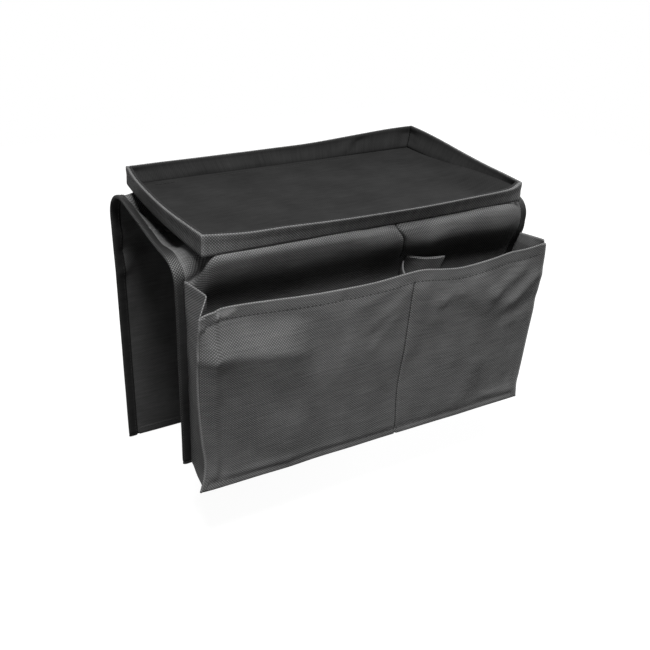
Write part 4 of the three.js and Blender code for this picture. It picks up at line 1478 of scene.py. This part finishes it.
class ORGANIZER_OT_hems(Sewing, bpy.types.Operator):
    """Turns the hems along the bottom of the two flaps"""

    bl_idname = "organizer.hems"
    bl_label = "Flap hems"

    def execute(self, context):
        for half in HALVES:
            hem_flap(half)
        return {"FINISHED"}


class ORGANIZER_OT_tray(Sewing, bpy.types.Operator):
    """Covers the tray: its base, its floor and its four padded walls"""

    bl_idname = "organizer.tray"
    bl_label = "Tray"

    def execute(self, context):
        lay_base()
        lay_floor()
        for number, wall in enumerate(TRAY_WALLS):
            pad_wall(wall, WALL_SEED + WALL_SEED_STEP * number)
        return {"FINISHED"}


class ORGANIZER_OT_stiffeners(Sewing, bpy.types.Operator):
    """Makes the stays inside the tray's walls and gives its board a finish"""

    bl_idname = "organizer.stiffeners"
    bl_label = "Board and stays"

    def execute(self, context):
        board = stiffener_finish(
            "grey_board", light=(0.32, 0.31, 0.29), dark=(0.2, 0.19, 0.18), scale=180)
        stay = stiffener_finish(
            "black_plastic", light=(0.03, 0.03, 0.03), dark=(0.015, 0.015, 0.015), scale=90)
        for wall in TRAY_WALLS:
            bend_stay(wall, stay)
        mesh = frame["nodes"]["tray_board"].data
        mesh.materials.clear()
        mesh.materials.append(board)
        return {"FINISHED"}


class ORGANIZER_OT_pocket(Sewing, bpy.types.Operator):
    """Sews the bellows pocket: its panel, seams, gussets, floor and divider"""

    bl_idname = "organizer.pocket"
    bl_label = "Bellows pocket"

    def execute(self, context):
        sew_panel(sew_welts())
        for side in SIDES:
            sew_gusset(side)
        sew_pocket_floor()
        sew_divider()
        return {"FINISHED"}


class ORGANIZER_OT_pen_pocket(Sewing, bpy.types.Operator):
    """Sews the small pocket on the front flap"""

    bl_idname = "organizer.pen_pocket"
    bl_label = "Small pocket"

    def execute(self, context):
        sew_pen_pocket()
        return {"FINISHED"}


def seen_directly(finish):
    """1 for rays that see the ground or sky directly, in a mirror or through glass."""
    path = finish.add("ShaderNodeLightPath")
    return path.larger(path.also("Is Glossy Ray")).larger(path.also("Is Transmission Ray"))


def make_ground(stage):
    """A pale floor that keeps the object's shadow and otherwise runs into the white background."""
    z = CAD_BOX[0].z - GROUND_DROP
    corners = [(x * GROUND_HALF, y * GROUND_HALF, z) for x, y in ((-1, -1), (1, -1), (1, 1), (-1, 1))]
    mesh = bpy.data.meshes.new("ground")
    mesh.from_pydata(corners, [], [(0, 1, 2, 3)])
    material = bpy.data.materials.new("ground")
    ground = shown(mesh, [material])
    finish = Finish(material)
    finish.dress(Base_Color=solid(stage.ground), Roughness=0.9, Specular_IOR_Level=0.0)
    lift = finish.add("ShaderNodeEmission", sockets={"Color": WHITE, "Strength": GROUND_GLOW})
    shader = finish.tree.nodes["Principled BSDF"]
    both = finish.add("ShaderNodeAddShader", sockets={0: Wire(finish, shader.outputs[0]), 1: lift})
    shared = finish.add("ShaderNodeMixShader", sockets={
        0: seen_directly(finish), 1: Wire(finish, shader.outputs[0]), 2: both})
    finish.put(finish.tree.nodes["Material Output"].inputs["Surface"], shared)


def make_sky(stage):
    """Even light from all round, on a background that is seen as white."""
    world = bpy.data.worlds.new("studio")
    bpy.context.scene.world = world
    finish = Finish(world)
    even = finish.tree.nodes["Background"]
    even.inputs["Strength"].default_value = stage.ambient
    even.inputs["Color"].default_value = WHITE
    white = finish.add("ShaderNodeBackground", sockets={"Color": WHITE, "Strength": 1.0})
    shared = finish.add("ShaderNodeMixShader", sockets={
        0: seen_directly(finish), 1: Wire(finish, even.outputs[0]), 2: white})
    finish.put(finish.tree.nodes["World Output"].inputs["Surface"], shared)


def outwards(azimuth, elevation):
    """The direction from the object at two angles in radians, the first one turning from the front."""
    level = math.cos(elevation)
    return Vector((math.sin(azimuth) * level, -math.cos(azimuth) * level, math.sin(elevation)))


def soft_light(name, angles, power):
    """A square area light turned to the object, placed by its angles in degrees."""
    out = outwards(*map(math.radians, angles))
    lamp = bpy.data.lights.new(name, "AREA")
    lamp.size = LIGHT_SIZE
    lamp.energy = power
    light = bpy.data.objects.new(name, lamp)
    light.location = (CAD_BOX[0] + CAD_BOX[1]) / 2 + out * LIGHT_DISTANCE
    light.rotation_euler = (-out).to_track_quat("-Z", "Y").to_euler()
    bpy.context.scene.collection.objects.link(light)


def make_camera():
    """The camera at the photograph's place and turn."""
    azimuth, elevation, roll = CAMERA_AZIMUTH, CAMERA_ELEVATION, CAMERA_ROLL
    back = outwards(azimuth, elevation)
    level = Vector((math.cos(azimuth), math.sin(azimuth), 0))
    upright = back.cross(level)
    right = level * math.cos(roll) + upright * math.sin(roll)
    up = upright * math.cos(roll) - level * math.sin(roll)
    view = bpy.data.cameras.new("camera")
    view.sensor_width = SENSOR
    view.lens = FOCAL_PIXELS * SENSOR / PHOTO_SIDE
    view.clip_start = 0.01
    camera = bpy.data.objects.new("camera", view)
    place = right * CAMERA_PLACE[0] + up * CAMERA_PLACE[1] + back * CAMERA_PLACE[2]
    turn = Matrix((right, up, back)).transposed().to_4x4()
    camera.matrix_world = Matrix.Translation(place) @ turn
    bpy.context.scene.collection.objects.link(camera)
    bpy.context.scene.camera = camera


class ORGANIZER_OT_stage(bpy.types.Operator):
    """Sets up the ground, the light and the camera"""

    bl_idname = "organizer.stage"
    bl_label = "Stage"

    def execute(self, context):
        stage = context.scene.organizer_stage
        context.scene.view_settings.view_transform = "Standard"
        make_ground(stage)
        make_sky(stage)
        soft_light("key", KEY_ANGLES, stage.key)
        soft_light("back", BACK_ANGLES, stage.back)
        make_camera()
        return {"FINISHED"}


STEPS = (
    ORGANIZER_OT_saddle,
    ORGANIZER_OT_bindings,
    ORGANIZER_OT_hems,
    ORGANIZER_OT_tray,
    ORGANIZER_OT_stiffeners,
    ORGANIZER_OT_pocket,
    ORGANIZER_OT_pen_pocket,
    ORGANIZER_OT_stage,
)


class ORGANIZER_PT_panel(bpy.types.Panel):
    """Lists the organizer's sizes, colours and sewing steps"""

    bl_idname = "ORGANIZER_PT_panel"
    bl_label = "Armrest organizer"
    bl_space_type = "VIEW_3D"
    bl_region_type = "UI"
    bl_category = "Organizer"

    def draw(self, context):
        for group in ("organizer_sizes", "organizer_colours", "organizer_stage"):
            settings = getattr(context.scene, group)
            for name in settings.__annotations__:
                self.layout.prop(settings, name)
        for step in STEPS:
            self.layout.operator(step.bl_idname)


GROUPS = {
    "organizer_sizes": OrganizerSizes,
    "organizer_colours": OrganizerColours,
    "organizer_stage": OrganizerStage,
}


def register():
    """Adds the settings, the sewing steps and the panel to Blender."""
    for name, group in GROUPS.items():
        bpy.utils.register_class(group)
        setattr(bpy.types.Scene, name, bpy.props.PointerProperty(type=group))
    for step in STEPS:
        bpy.utils.register_class(step)
    bpy.utils.register_class(ORGANIZER_PT_panel)


def unregister():
    """Takes them away again."""
    bpy.utils.unregister_class(ORGANIZER_PT_panel)
    for step in reversed(STEPS):
        bpy.utils.unregister_class(step)
    for name, group in GROUPS.items():
        delattr(bpy.types.Scene, name)
        bpy.utils.unregister_class(group)


def main():
    """Sews and stages the organizer."""
    register()
    for step in STEPS:
        area, name = step.bl_idname.split(".")
        getattr(getattr(bpy.ops, area), name)()


if __name__ == "__main__":
    main()
